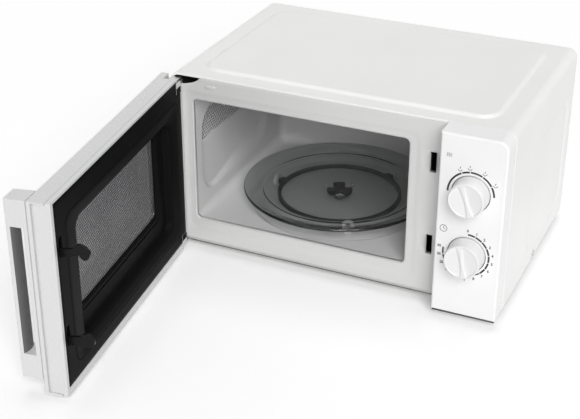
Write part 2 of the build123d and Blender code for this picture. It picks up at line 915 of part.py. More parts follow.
def make_cavity_lamp():
    """Bulb standing on the bottom of its socket, with a round end."""
    seat_x = bay_left + socket_reach - bulb_foot
    stem = rod((seat_x, lamp_y, lamp_z), (-1, 0, 0), bulb_radius, bulb_length - bulb_radius)
    crown = Pos(seat_x - bulb_length + bulb_radius, lamp_y, lamp_z) * Sphere(bulb_radius)
    front_half = block(
        seat_x - 2 * bulb_length, seat_x, lamp_y - bulb_length, lamp_y + bulb_length,
        lamp_z - bulb_length, lamp_z + bulb_length)
    return stem + (crown & front_half)


def make_turntable_motor():
    """Flat geared motor under the cavity floor."""
    body = rod((turntable_x, turntable_y, motor_top), (0, 0, -1), motor_radius, motor_height)
    bore_start = (turntable_x, turntable_y, motor_top - motor_bore_depth)
    bore_radius = spindle_radius + running_clearance
    return body - rod(bore_start, (0, 0, 1), bore_radius, motor_bore_depth + cut_over)


def make_turntable_spindle():
    bottom = motor_top - motor_bore_depth + cut_over
    top = coupler_z + spindle_socket_depth - running_clearance
    return rod((turntable_x, turntable_y, bottom), (0, 0, 1), spindle_radius, top - bottom)


def make_turntable_coupler():
    """Three-lobed driver that sits on the spindle."""
    height = plate_z - roller_gap - coupler_z
    hub = rod((turntable_x, turntable_y, coupler_z), (0, 0, 1), coupler_hub_radius, height)
    lobe_length = coupler_radius - coupler_lobe_width / 2
    half_lobe = coupler_lobe_width / 2
    lobe = block(0, lobe_length, -half_lobe, half_lobe, 0, height)
    lobe = lobe + rod((lobe_length, 0, 0), (0, 0, 1), half_lobe, height)
    for index in range(roller_count):
        turned = Rot(0, 0, coupler_turn + 360 * index / roller_count) * lobe
        hub = hub + Pos(turntable_x, turntable_y, coupler_z) * turned
    socket_radius = spindle_radius + running_clearance
    socket_start = (turntable_x, turntable_y, coupler_z - cut_over)
    return hub - rod(socket_start, (0, 0, 1), socket_radius, spindle_socket_depth + cut_over)


def make_glass_plate():
    """Shallow dish turned about the turntable's axis, with ribs that the coupler drives."""
    rim_foot = (plate_flat_radius + plate_radius) / 2
    outline = Polyline(
        (0, 0), (plate_flat_radius, 0), (rim_foot, plate_rim_rise / 2), (plate_radius, plate_rim_rise),
        (plate_radius, plate_thickness + plate_rim_rise),
        (plate_radius - plate_rim_width, plate_thickness + plate_rim_rise),
        (rim_foot - plate_rim_width, plate_thickness + plate_rim_rise / 2),
        (plate_flat_radius - plate_rim_width, plate_thickness), (0, plate_thickness), close=True)
    dish = revolve(Plane.XZ * make_face(outline), Axis.Z)
    for index in range(roller_count):
        turn = math.radians(coupler_turn + 180 / roller_count + 360 * index / roller_count)
        place = (rib_ring * math.cos(turn), rib_ring * math.sin(turn), -rib_height)
        dish = dish + rod(place, (0, 0, 1), rib_radius, rib_height)
    return Pos(turntable_x, turntable_y, plate_z) * dish


def roller_turn(index):
    return roller_start_angle + 360 * index / roller_count


def make_roller_ring():
    """Ring with three radial axles, each ending in a small cap."""
    ring = Cylinder(ring_radius + ring_width / 2, ring_height)
    ring = ring - Cylinder(ring_radius - ring_width / 2, ring_height + 2 * cut_over)
    cap_start = roller_track_radius + roller_width / 2 + axle_play
    for index in range(roller_count):
        axle = rod((ring_radius, 0, 0), (1, 0, 0), axle_radius, cap_start - ring_radius)
        axle = axle + rod((cap_start, 0, 0), (1, 0, 0), axle_cap_radius, axle_cap_length)
        ring = ring + Rot(0, 0, roller_turn(index)) * axle
    return Pos(turntable_x, turntable_y, axle_z) * ring


def make_roller(index):
    """Wheel on one of the ring's axles."""
    start = (roller_track_radius - roller_width / 2, 0, 0)
    wheel = rod(start, (1, 0, 0), roller_radius, roller_width)
    bore_start = (start[0] - cut_over, 0, 0)
    bore = rod(bore_start, (1, 0, 0), axle_radius + running_clearance, roller_width + 2 * cut_over)
    return Pos(turntable_x, turntable_y, axle_z) * (Rot(0, 0, roller_turn(index)) * (wheel - bore))


def panel_block(inset, y0, y1):
    """The control panel's outline, inset all round, with the casing's round top corner."""
    body = block(panel_left + inset, panel_right - inset, y0, y1, base_z + inset, cabinet_top - inset)
    corner = body.edges().filter_by(Axis.Y).group_by(Axis.Z)[-1].sort_by(Axis.X)[-1]
    return fillet(corner, casing_corner - inset)


def make_control_panel():
    """Moulded front, open at its back, with the knobs' wells and shaft holes."""
    body = panel_block(0, panel_front, front_y)
    body = fillet(body.faces().sort_by(Axis.Y)[0].edges(), panel_edge)
    body = body - panel_block(panel_wall, panel_inner, front_y + cut_over)
    for level in (power_level, timer_level):
        start = (knob_x, panel_front - cut_over, level)
        body = body - rod(start, (0, 1, 0), well_radius, well_depth + cut_over)
        hole_radius = shaft_radius + shaft_hole_clearance
        body = body - rod(start, (0, 1, 0), hole_radius, panel_wall + 2 * cut_over)
    return body


def make_knob(level, pointer):
    """Turned knob with a grip bar between two hollows, its pointer turned from upright."""
    foot = well_depth - knob_well_gap
    outline = Polyline(
        (0, -foot), (knob_skirt_radius, -foot), (knob_skirt_radius, knob_skirt_height),
        (knob_shoulder_radius, 2 * knob_skirt_height), (knob_face_radius, knob_height - knob_edge),
        (knob_face_radius - knob_edge, knob_height), (0, knob_height), close=True)
    knob = revolve(Plane.XZ * make_face(outline), Axis.Z)
    hollow_outline = Polyline(
        (grip_half_width, knob_height + cut_over), (grip_half_width, knob_height - grip_depth),
        (knob_face_radius, knob_height), (knob_face_radius, knob_height + cut_over), close=True)
    hollow = extrude(Plane.XZ * make_face(hollow_outline), knob_face_radius, both=True)
    hollow = hollow & (Pos(0, 0, knob_height) * Cylinder(grip_radius, 4 * grip_depth))
    knob = knob - hollow - Rot(0, 0, 180) * hollow
    bore_radius = shaft_radius + running_clearance
    bore_start = (0, 0, -foot - cut_over)
    knob = knob - rod(bore_start, (0, 0, 1), bore_radius, knob_bore_depth + cut_over)
    turned = Rot(0, pointer, 0) * (Rot(90, 0, 0) * knob)
    return Pos(knob_x, panel_front, level) * turned


def make_shaft(level):
    """Control shaft from the unit behind the panel into the knob."""
    back = panel_inner + shaft_bearing_depth - shaft_grip_gap
    front = panel_front + well_depth - knob_well_gap - knob_bore_depth + shaft_grip_gap
    return rod((knob_x, back, level), (0, -1, 0), shaft_radius, back - front)


def make_control_unit(level, size, depth):
    """Closed unit on the back of the panel, with the bearing for its shaft."""
    half = size / 2
    body = block(
        knob_x - half, knob_x + half, panel_inner, panel_inner + depth, level - half, level + half)
    bore_start = (knob_x, panel_inner - cut_over, level)
    bore_radius = shaft_radius + running_clearance
    return body - rod(bore_start, (0, 1, 0), bore_radius, shaft_bearing_depth + cut_over)


def make_interlock_bracket():
    """Plate beside the latch slots, with a flange on the back of the front frame."""
    z0 = lower_slot_level - slot_height / 2 - bracket_margin
    z1 = upper_slot_level + slot_height / 2 + bracket_margin
    plate = block(bracket_x, bracket_x + bracket_wall, frame_back, frame_back + bracket_reach, z0, z1)
    flange = block(
        bracket_x, bracket_x + bracket_wall + bracket_flange, frame_back, frame_back + bracket_wall, z0, z1)
    return plate + flange


def make_switch(level):
    """Small switch on the bracket, with the bore for its plunger."""
    body = block(
        bracket_x - switch_width, bracket_x, switch_front, switch_front + switch_length,
        level - switch_height / 2, level + switch_height / 2)
    bore_radius = plunger_radius + running_clearance
    bore_depth = plunger_seat + 2 * plunger_travel
    bore_start = (latch_x, switch_front - cut_over, level)
    return body - rod(bore_start, (0, 1, 0), bore_radius, bore_depth + cut_over)


def make_plunger(level):
    start = (latch_x, switch_front - plunger_proud, level)
    return rod(start, (0, 1, 0), plunger_radius, plunger_proud + plunger_seat)


def make_strap(y1, z0):
    """Flat hinge strap, round about the pin."""
    strap = block(
        hinge_x - strap_half_width, hinge_x + strap_half_width, hinge_y, y1, z0, z0 + strap_thickness)
    return strap + rod((hinge_x, hinge_y, z0), (0, 0, 1), strap_half_width, strap_thickness)


def make_upper_hinge_bracket():
    """Strap out of the front frame's notch, bent down behind the frame."""
    back = frame_back + strap_thickness
    flange = block(
        hinge_x - strap_half_width, hinge_x + strap_half_width, frame_back, back,
        strap_top - strap_flange_height, strap_top)
    return make_strap(back, strap_bottom) + flange


def make_lower_hinge_bracket():
    """Strap under the base plate."""
    return make_strap(front_y + strap_tail, base_z - strap_thickness)


def make_hinge_pins():
    upper = rod((hinge_x, hinge_y, strap_bottom), (0, 0, -1), pin_radius, pin_length)
    lower = rod((hinge_x, hinge_y, base_z), (0, 0, 1), pin_radius, pin_length)
    return upper + lower


def window_cut(border, corner, y0, y1):
    """Opening about the screen, grown by a border."""
    return facing_front(
        screen_x0 - border, screen_x1 + border, screen_z0 - border, screen_z1 + border,
        corner + border, y0, y1)


def hinge_notches():
    """Room for the hinge straps, cut from the door's hinge edge."""
    notches = []
    for z0, z1 in ((upper_boss_top, door_top + cut_over), (door_bottom - cut_over, lower_boss_bottom)):
        notches.append(block(door_left - cut_over, boss_right, notch_front, door_inner + cut_over, z0, z1))
    return notches


def make_door_frame():
    """Moulded tray that is the door's rim, with the hinge bosses and their notches."""
    rim = block(door_left, door_frame_right, rim_front, door_inner, door_bottom, door_top)
    hinge_edge = rim.edges().filter_by(Axis.Z).group_by(Axis.X)[0].sort_by(Axis.Y)[-1]
    body = fillet(hinge_edge, hinge_edge_radius)
    body = body + block(door_left, door_frame_right, frame_front, rim_front, frame_low, frame_high)
    body = body + block(
        door_left + reveal_depth, door_frame_right - reveal_depth, skin_back, frame_front,
        frame_low, frame_high)
    rebate = block(
        cover_left - cover_fit, cover_right + cover_fit, door_inner - cover_skin - cover_fit,
        door_inner + cut_over, cover_bottom - cover_fit, cover_top + cover_fit)
    tray = rebate + block(
        cover_left - cover_fit, cover_right + cover_fit, web_back, door_inner, tray_low, tray_high)
    for z0, z1 in ((upper_boss_bottom, door_top), (door_bottom, lower_boss_top)):
        tray = tray - block(door_left, boss_right, web_back - cut_over, door_inner + 2 * cut_over, z0, z1)
    body = body - tray - window_cut(window_border, screen_corner, skin_back - cut_over, web_back + cut_over)
    body = body - hinge_notches()
    bore_radius = pin_radius + running_clearance
    for z0 in (upper_boss_bottom - cut_over, lower_boss_bottom - cut_over):
        body = body - rod((hinge_x, hinge_y, z0), (0, 0, 1), bore_radius, boss_height + 2 * cut_over)
    return body


def make_door_front_panel():
    """Outer skin of the door with a lip over and under the frame and a rebate for the window pane."""
    skin = block(door_left, door_right, door_outer, skin_back, door_bottom, door_top)
    skin = fillet(skin.faces().sort_by(Axis.Y)[0].edges(), skin_edge)
    lip_end = rim_front - lip_seam
    skin = skin + block(door_left, door_right, skin_back, lip_end, door_top - skin_lip, door_top)
    skin = skin + block(door_left, door_right, skin_back, lip_end, door_bottom, door_bottom + skin_lip)
    skin = skin - hinge_notches()
    skin = skin - window_cut(window_border, screen_corner, door_outer - cut_over, skin_back + cut_over)
    return skin - window_cut(
        pane_border, pane_corner, door_outer - cut_over, door_outer + pane_thickness)


def make_door_window():
    """Smoked pane, flush with the outer skin."""
    return window_cut(pane_border - pane_fit, pane_corner, door_outer, door_outer + pane_thickness)


def make_choke_frame():
    """Flat steel ring between the screen and the door frame's web."""
    ring = block(
        screen_x0 - choke_side_border, screen_x1 + choke_side_border, web_back, screen_back,
        screen_z0 - choke_rim_border, screen_z1 + choke_rim_border)
    return ring - window_cut(0, screen_corner, web_back - cut_over, screen_back + cut_over)


def make_perforated_screen():
    """Steel sheet behind the window of the choke cover."""
    return window_cut(screen_border, screen_corner, screen_back, screen_front)


def cover_rectangle(left, right, bottom, top, corner):
    """Rounded rectangle set in from the cover's edges, with its middle in the front plane."""
    x0 = cover_left + left
    x1 = cover_right - right
    z0 = cover_bottom + bottom
    z1 = cover_top - top
    middle = ((x0 + x1) / 2, (z0 + z1) / 2)
    return middle, RectangleRounded(x1 - x0, z1 - z0, corner)


def cover_prism(left, right, bottom, top, corner, y0, y1):
    """Slab on a rectangle set in from the cover's edges."""
    middle, outline = cover_rectangle(left, right, bottom, top, corner)
    plane = Plane(origin=(middle[0], y0, middle[1]), x_dir=(1, 0, 0), z_dir=(0, 1, 0))
    return extrude(plane * outline, y1 - y0)


def cover_funnel():
    """Sloping mouth between the moulded edge and the recess."""
    wide_middle, wide = cover_rectangle(funnel_left, funnel_right, funnel_bottom, funnel_top, funnel_corner)
    deep_middle, deep = cover_rectangle(recess_left, recess_right, recess_bottom, recess_top, recess_corner)
    wide_plane = Plane(origin=(wide_middle[0], door_inner, wide_middle[1]), x_dir=(1, 0, 0), z_dir=(0, 1, 0))
    deep_plane = Plane(
        origin=(deep_middle[0], door_inner - funnel_depth, deep_middle[1]), x_dir=(1, 0, 0), z_dir=(0, 1, 0))
    return loft([deep_plane * deep, wide_plane * wide])


def screen_ridge(offset):
    """Low ridge on the recess floor, round the screen's window."""
    y1 = recess_floor + ridge_height
    ring = window_cut(offset + ridge_width, screen_corner, recess_floor, y1)
    return ring - window_cut(offset, screen_corner, recess_floor - cut_over, y1 + cut_over)


def make_choke_cover():
    """Black moulding on the door's inside: rim, sloping mouth, recess and latch slots."""
    rim = block(cover_left, cover_right, door_inner - cover_skin, door_inner, cover_bottom, cover_top)
    back = funnel_depth + funnel_back
    body = rim + cover_prism(
        funnel_left - funnel_back, funnel_right - funnel_back, funnel_bottom - funnel_back,
        funnel_top - funnel_back, funnel_corner, door_inner - back, door_inner)
    body = body + cover_prism(
        recess_left - recess_wall, recess_right - recess_wall, recess_bottom - recess_wall,
        recess_top - recess_wall, recess_corner, screen_front, door_inner)
    body = body - cover_funnel()
    body = body - cover_prism(
        recess_left, recess_right, recess_bottom, recess_top, recess_corner,
        recess_floor, door_inner + cut_over)
    body = body + screen_ridge(ridge_offset)
    body = body - window_cut(0, screen_corner, screen_front - cut_over, recess_floor + cut_over)
    for level in (upper_slot_level, lower_slot_level):
        half_width = cover_slot_width / 2
        body = body - block(
            latch_x - half_width, latch_x + half_width,
            door_inner - cover_skin - cut_over, door_inner + cut_over,
            level - hook_drop - hook_slot_gap, level + hook_rise + latch_lift + hook_slot_gap)
    for z0, z1 in ((upper_boss_bottom - cover_fit, cover_top), (cover_bottom, lower_boss_top + cover_fit)):
        body = body - block(
            cover_left - cut_over, boss_right + cover_fit, door_inner - cover_skin - cut_over,
            door_inner + cut_over, z0 - cut_over, z1 + cut_over)
    return body


def make_door_handle():
    """Upright grip at the free edge: a base, two end blocks and an outer bar."""
    outline = Polyline(
        (handle_right, door_outer), (handle_right, handle_outer), (handle_left, handle_outer),
        (handle_right - handle_root_width, door_outer), close=True)
    body = extrude(Plane(origin=(0, 0, handle_bottom)) * make_face(outline), door_top - handle_bottom)
    body = fillet(body.faces().sort_by(Axis.Y)[0].edges(), handle_edge)
    return body - block(
        handle_right - handle_root_width - cut_over, handle_right + cut_over, grip_face,
        door_outer - handle_base, grip_bottom, grip_top)


def make_grip_liner():
    """Dark bulged strip on the inner face of the handle's bar."""
    chord = Line((handle_left, grip_face), (handle_right, grip_face))
    middle = ((handle_left + handle_right) / 2, grip_face + grip_bulge)
    bulge = ThreePointArc((handle_right, grip_face), middle, (handle_left, grip_face))
    plane = Plane(origin=(0, 0, grip_bottom + grip_end_gap))
    return extrude(plane * make_face([chord, bulge]), grip_top - grip_bottom - 2 * grip_end_gap)


def hook_outline(level, points):
    """Closed outline of one hook in the upright plane of the latch lever."""
    placed = []
    for reach, rise in points:
        placed.append((door_inner + reach, level + rise))
    edges = [Line(placed[0], placed[1]), Line(placed[1], placed[2])]
    edges.append(Spline(placed[2], placed[3], placed[4], placed[5], placed[6]))
    edges.append(Line(placed[6], placed[7]))
    edges.append(Line(placed[7], placed[0]))
    return make_face(edges)


def make_latch_lever():
    """Flat bar inside the door with two hooks that stand out of the choke cover."""
    bar_front = door_inner - cover_skin - latch_skin_gap
    x0 = latch_x - latch_thickness / 2
    x1 = latch_x + latch_thickness / 2
    lever = block(
        x0, x1, bar_front - latch_bar_depth, bar_front,
        lower_slot_level - slot_height / 2 - latch_bar_end / 2,
        upper_slot_level + hook_rise + latch_bar_end)
    root = -cover_skin - latch_skin_gap - cut_over
    middle = hook_length * 0.42
    beak = (
        (root, -hook_drop), (root, -hook_drop * 0.35), (middle, -hook_drop * 0.12),
        (hook_length * 0.74, hook_rise), (hook_length, -hook_drop * 0.42),
        (hook_length * 0.84, -hook_drop), (hook_length * 0.62, -hook_drop * 0.62),
        (hook_length * 0.2, -hook_drop * 0.98))
    fin = (
        (root, -hook_drop), (root, -hook_drop * 0.27), (middle, -hook_drop * 0.02),
        (hook_length * 0.72, hook_rise), (hook_length * 0.92, -hook_drop * 0.3),
        (hook_length * 0.86, -hook_drop * 0.7), (hook_length * 0.7, -hook_drop * 0.99),
        (hook_length * 0.3, -hook_drop * 0.99))
    plane = Plane(origin=(x0, 0, 0), x_dir=(0, 1, 0), z_dir=(1, 0, 0))
    for level, points in ((upper_slot_level, beak), (lower_slot_level, fin)):
        lever = lever + extrude(plane * hook_outline(level, points), latch_thickness)
    return lever


def make_latch_spring():
    """Coil above the latch lever, seen as a plain tube."""
    z0 = upper_slot_level + hook_rise + latch_bar_end + spring_gap
    z1 = tray_high
    spring_y = door_inner - cover_skin - latch_skin_gap - latch_bar_depth / 2
    tube = rod((latch_x, spring_y, z0), (0, 0, 1), spring_radius, z1 - z0)
    bore_start = (latch_x, spring_y, z0 - cut_over)
    return tube - rod(bore_start, (0, 0, 1), spring_radius - spring_wall, z1 - z0 + 2 * cut_over)


def make_feet():
    """Four tapered feet under the base plate."""
    feet = []
    for side in (-1, 1):
        for end in (-1, 1):
            foot_x = side * (right_x - foot_side_inset)
            foot_y = end * (rear_y - foot_end_inset)
            foot = Cone(foot_radius - foot_taper, foot_radius, foot_height)
            feet.append(Pos(foot_x, foot_y, foot_height / 2) * foot)
    return Part() + feet


def make_casing_screws():
    """Round heads round the rear panel and low on each side of the casing."""
    heads = []
    low = base_top + screw_edge_inset
    high = cabinet_top - screw_edge_inset
    side_x = right_x - screw_edge_inset
    for side in (-1, 1):
        for level in (low, (low + high) / 2, high):
            heads.append(rod((side * side_x, rear_y, level), (0, 1, 0), screw_head_radius, screw_head_height))
        place = (side * right_x, front_y + side_screw_setback, base_z + side_screw_rise)
        heads.append(rod(place, (side, 0, 0), screw_head_radius, screw_head_height))
    return Part() + heads


upper_switch_level = upper_slot_level - hook_drop / 2
lower_switch_level = lower_slot_level - hook_drop / 2 + switch_spacing / 2
monitor_switch_level = lower_switch_level - switch_spacing

nodes = {
    "outer_casing": make_outer_casing(),
    "base_plate": make_base_plate(),
    "rear_panel": make_rear_panel(),
    "cord_gland": make_cord_gland(),
    "front_frame": make_front_frame(),
    "oven_cavity": make_oven_cavity(),
    "air_grille": make_air_grille(),
    "waveguide": make_waveguide(),
    "waveguide_cover": make_waveguide_cover(),
    "magnetron": make_magnetron(),
    "thermal_cutout": make_thermal_cutout(),
    "transformer_core": make_transformer_core(),
    "transformer_coils": make_transformer_coils(),
    "high_voltage_capacitor": make_capacitor(),
    "capacitor_clamp": make_capacitor_clamp(),
    "high_voltage_diode": make_diode(),
    "line_filter_board": make_line_filter(),
    "fan_shroud": make_fan_shroud(),
    "fan_motor": make_fan_motor(),
    "fan_blade": make_fan_blade(),
    "lamp_socket": make_lamp_socket(),
    "cavity_lamp": make_cavity_lamp(),
    "turntable_motor": make_turntable_motor(),
    "turntable_spindle": make_turntable_spindle(),
    "turntable_coupler": make_turntable_coupler(),
    "glass_plate": make_glass_plate(),
    "roller_ring": make_roller_ring(),
    "control_panel": make_control_panel(),
    "power_knob": make_knob(power_level, power_pointer),
    "timer_knob": make_knob(timer_level, timer_pointer),
    "power_shaft": make_shaft(power_level),
    "timer_shaft": make_shaft(timer_level),
    "power_selector": make_control_unit(power_level, selector_size, selector_depth),
    "timer_unit": make_control_unit(timer_level, timer_size, timer_depth),
    "interlock_bracket": make_interlock_bracket(),
    "upper_switch": make_switch(upper_switch_level),
    "lower_switch": make_switch(lower_switch_level),
    "monitor_switch": make_switch(monitor_switch_level),
    "upper_plunger": make_plunger(upper_switch_level),
    "lower_plunger": make_plunger(lower_switch_level),
    "monitor_plunger": make_plunger(monitor_switch_level),
    "upper_hinge_bracket": make_upper_hinge_bracket(),
    "lower_hinge_bracket": make_lower_hinge_bracket(),
    "hinge_pins": make_hinge_pins(),
    "feet": make_feet(),
    "casing_screws": make_casing_screws(),
}
for roller_index in range(roller_count):
    nodes["roller_" + str(roller_index + 1)] = make_roller(roller_index)

# The door and its latch are made closed, then swung open about the hinge
door_nodes = {
    "door_frame": make_door_frame(),
    "door_front_panel": make_door_front_panel(),
    "door_window": make_door_window(),
    "choke_frame": make_choke_frame(),
    "perforated_screen": make_perforated_screen(),
    "choke_cover": make_choke_cover(),
    "door_handle": make_door_handle(),
    "handle_grip_liner": make_grip_liner(),
    "latch_lever": make_latch_lever(),
    "latch_spring": make_latch_spring(),
}
for name, shape in door_nodes.items():
    nodes[name] = shape.rotate(hinge_axis, door_open_angle)

os.makedirs("parts", exist_ok=True)
for name, shape in nodes.items():
    export_step(shape, "parts/" + name + ".step")
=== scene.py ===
import json
import math

import bmesh
import bpy
import numpy as np
from mathutils import Matrix, Vector


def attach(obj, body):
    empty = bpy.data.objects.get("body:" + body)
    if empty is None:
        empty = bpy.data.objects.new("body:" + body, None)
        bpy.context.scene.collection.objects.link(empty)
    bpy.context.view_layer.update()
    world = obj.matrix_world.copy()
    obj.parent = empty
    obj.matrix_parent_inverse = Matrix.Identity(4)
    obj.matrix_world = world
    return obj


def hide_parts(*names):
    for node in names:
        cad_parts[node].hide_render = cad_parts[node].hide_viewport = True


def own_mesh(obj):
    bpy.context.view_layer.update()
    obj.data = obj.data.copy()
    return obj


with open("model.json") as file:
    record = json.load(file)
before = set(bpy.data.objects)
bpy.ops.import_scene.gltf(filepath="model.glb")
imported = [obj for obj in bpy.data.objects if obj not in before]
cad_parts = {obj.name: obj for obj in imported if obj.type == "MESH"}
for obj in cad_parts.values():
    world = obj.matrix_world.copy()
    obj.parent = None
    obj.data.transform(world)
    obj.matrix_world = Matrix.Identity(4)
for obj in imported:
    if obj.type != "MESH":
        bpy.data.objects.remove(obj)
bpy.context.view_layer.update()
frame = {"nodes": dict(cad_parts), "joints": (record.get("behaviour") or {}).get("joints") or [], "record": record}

# Shapes are worked out in millimetres, and the mesh maker turns them into metres
METRE = 0.001

# Room that keeps two faces from lying in one plane
hair = 0.02


def joint(name):
    """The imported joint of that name."""
    return next(item for item in frame["joints"] if item["name"] == name)


hinge = joint("door_hinge")
hinge_x = hinge["pos_m"][0] / METRE
hinge_y = hinge["pos_m"][1] / METRE
open_angle = math.radians(-hinge["range_deg"][0])


def node_points(node):
    """A CAD node's vertices in millimetres."""
    mesh = frame["nodes"][node].data
    flat = np.zeros(len(mesh.vertices) * 3)
    mesh.vertices.foreach_get("co", flat)
    return flat.reshape(-1, 3) / METRE


def swing(points, angle):
    """Points turned about the door's upright hinge, anticlockwise seen from above."""
    x = points[..., 0] - hinge_x
    y = points[..., 1] - hinge_y
    cosine = math.cos(angle)
    sine = math.sin(angle)
    turned = np.array(points, dtype=float)
    turned[..., 0] = hinge_x + cosine * x - sine * y
    turned[..., 1] = hinge_y + sine * x + cosine * y
    return turned


def corners(node):
    """Lowest and highest corner of a CAD node in millimetres."""
    points = node_points(node)
    return points.min(axis=0), points.max(axis=0)


def closed_corners(node):
    """Lowest and highest corner of a door node, with the door swung shut."""
    points = swing(node_points(node), open_angle)
    return points.min(axis=0), points.max(axis=0)


def smooth_step(value):
    """Share from 0 to 1 that starts and ends level: three squares less two cubes."""
    share = np.clip(value, 0.0, 1.0)
    return share * share * (3.0 - 2.0 * share)


def depth_inside(across, along, low, high, corner):
    """Distance inside a rounded rectangle, below zero outside it."""
    middle = (np.array(low) + np.array(high)) / 2
    half = (np.array(high) - np.array(low)) / 2 - corner
    past_across = np.abs(across - middle[0]) - half[0]
    past_along = np.abs(along - middle[1]) - half[1]
    beyond = np.hypot(np.maximum(past_across, 0), np.maximum(past_along, 0))
    return corner - beyond - np.minimum(np.maximum(past_across, past_along), 0)


def spaced(low, high, marks, reach, fine, coarse):
    """Positions from low to high, close together near the marks and far apart elsewhere."""
    steps = int(round((high - low) / fine))
    every = np.linspace(low, high, steps + 1)
    near = np.abs(every[:, None] - np.array(marks)[None, :]).min(axis=1) < reach
    thinned = np.arange(steps + 1) % max(1, int(round(coarse / fine))) == 0
    kept = near | thinned
    kept[-1] = True
    return every[kept]


def grid_faces(rows, columns, round_columns=False):
    """Corner numbers of a grid's quads, whose last column may join the first."""
    number = np.arange(rows * columns).reshape(rows, columns)
    if round_columns:
        number = np.hstack([number, number[:, :1]])
    quads = np.stack([number[:-1, :-1], number[:-1, 1:], number[1:, 1:], number[1:, :-1]], axis=-1)
    return quads.reshape(-1, 4)


def arc(centre, radius, start, end, count):
    """Points along a circle between two angles, anticlockwise from the right."""
    turn = np.linspace(start, end, count)
    return np.stack([centre[0] + radius * np.cos(turn), centre[1] + radius * np.sin(turn)], axis=1)


def rounded_loop(x0, x1, y0, y1, radius, corner_points=9, side_points=(6, 6, 6, 6), levels=None,
                 left_corners=None):
    """Points once round a rounded rectangle, anticlockwise from the head of its right side.

    Side points are the counts between the corners on the top, left, bottom and right. Levels are the
    heights of the right side's own points. Left corners, the upper one first, stand in for the two
    arcs on the left.
    """
    centres = ((x1 - radius, y1 - radius), (x0 + radius, y1 - radius),
               (x0 + radius, y0 + radius), (x1 - radius, y0 + radius))
    arcs = []
    for index, centre in enumerate(centres):
        arcs.append(arc(centre, radius, index * np.pi / 2, (index + 1) * np.pi / 2, corner_points))
    if left_corners is not None:
        arcs[1], arcs[2] = left_corners
    parts = []
    for index, bend in enumerate(arcs):
        head = arcs[(index + 1) % 4][0]
        side = np.linspace(bend[-1], head, side_points[index] + 2)[1:-1]
        if index == 3 and levels is not None:
            side = np.stack([np.full(len(levels), x1), levels], axis=1)
        parts.extend([bend, side])
    return np.concatenate(parts)


def stepped_corners(x0, y0, y1, notch, corner_points):
    """Left corners that step in to a place across, from a high level at the top and a low one below."""
    step_x, low, high = notch
    first = corner_points // 2
    rest = corner_points - first
    made = []
    for stops in (((step_x, y1), (step_x, high), (x0, high)), ((x0, low), (step_x, low), (step_x, y0))):
        made.append(np.concatenate([
            np.linspace(stops[0], stops[1], first, endpoint=False), np.linspace(stops[1], stops[2], rest)]))
    return made


def facing_front(flat, y):
    """Flat points, given across and up, in an upright plane."""
    return np.stack([flat[..., 0], np.full(flat.shape[:-1], y), flat[..., 1]], axis=-1)


def raised(flat, level):
    """Flat points, given across and back, at a level."""
    return np.column_stack([flat, np.full(len(flat), level)])


def levels_between(stops):
    """Four steps from each stop to the next, and the last stop."""
    runs = [np.linspace(low, high, 5)[:-1] for low, high in zip(stops[:-1], stops[1:])]
    return np.concatenate(runs + [[stops[-1]]])


def drawn_to(levels, low, high):
    """Levels drawn in or out until they run from low to high."""
    return low + (levels - levels[0]) / (levels[-1] - levels[0]) * (high - low)


def slot_walls(left, right, span, front, back):
    """The four walls of a slot between two upright planes."""
    low, high = span
    outline = np.array([(left, low), (right, low), (right, high), (left, high)])
    return np.stack([facing_front(outline, front), facing_front(outline, back)]), grid_faces(2, 4, True)


def clear_of_slots(ring, level_count, spans):
    """Which of a ring's columns stay: all but those on its right side within the slots' spans of height."""
    column = np.arange(len(ring))
    middles = (ring[:, 2] + np.roll(ring[:, 2], -1)) / 2
    on_right = (column >= len(ring) - level_count) & (column < len(ring) - 1)
    kept = np.ones(len(ring), dtype=bool)
    for low, high in spans:
        kept &= ~(on_right & (middles > low) & (middles < high))
    return kept


def join_patches(patches):
    """One list of points and one of faces from several patches of each."""
    points = []
    faces = []
    start = 0
    for patch_points, patch_faces in patches:
        flat = np.asarray(patch_points, dtype=float).reshape(-1, 3)
        points.append(flat)
        faces.append(np.asarray(patch_faces) + start)
        start = start + len(flat)
    return np.concatenate(points), np.concatenate(faces)


def new_object(name, data):
    """Object at the origin, put into the scene."""
    made = bpy.data.objects.new(name, data)
    bpy.context.scene.collection.objects.link(made)
    return made


def add_piece(name, patches, body, slot, stands_for=(), finish=None, sharp=35.0, outward=False):
    """Mesh of some patches in millimetres, welded, shaded smooth below the sharp angle.

    It has its slot's finish unless it is given its own.
    """
    points, faces = join_patches(patches)
    mesh = bpy.data.meshes.new(name)
    mesh.from_pydata((points * METRE).tolist(), [], faces.tolist())
    work = bmesh.new()
    work.from_mesh(mesh)
    bmesh.ops.remove_doubles(work, verts=work.verts, dist=1e-6)
    bmesh.ops.dissolve_degenerate(work, edges=work.edges, dist=1e-7)
    if outward:
        bmesh.ops.recalc_face_normals(work, faces=work.faces)
    work.to_mesh(mesh)
    work.free()
    mesh.polygons.foreach_set("use_smooth", np.ones(len(mesh.polygons), dtype=bool))
    mesh.set_sharp_from_angle(angle=math.radians(sharp))
    mesh.materials.append(finish or finishes[slot])
    piece = new_object(name, mesh)
    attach(piece, body)
    if stands_for:
        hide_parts(*stands_for)
    return piece


def thicken(piece, wall, offset=-1.0, back=None):
    """Give a sheet its wall, in millimetres, on the side away from its faces, and a coat there if named."""
    modifier = piece.modifiers.new("wall", "SOLIDIFY")
    modifier.thickness = wall * METRE
    modifier.offset = offset
    if back is not None:
        piece.data.materials.append(back)
        modifier.material_offset = 1


# Finishes


def new_finish(name):
    """An empty procedural finish, with its tree and its shader."""
    finish = bpy.data.materials.new(name)
    finish.use_nodes = True
    tree = finish.node_tree
    return finish, tree, tree.nodes["Principled BSDF"]


def set_sockets(node, **values):
    """Set a node's sockets by their names, in which a low line stands for a space."""
    for name, value in values.items():
        node.inputs[name.replace("_", " ")].default_value = value


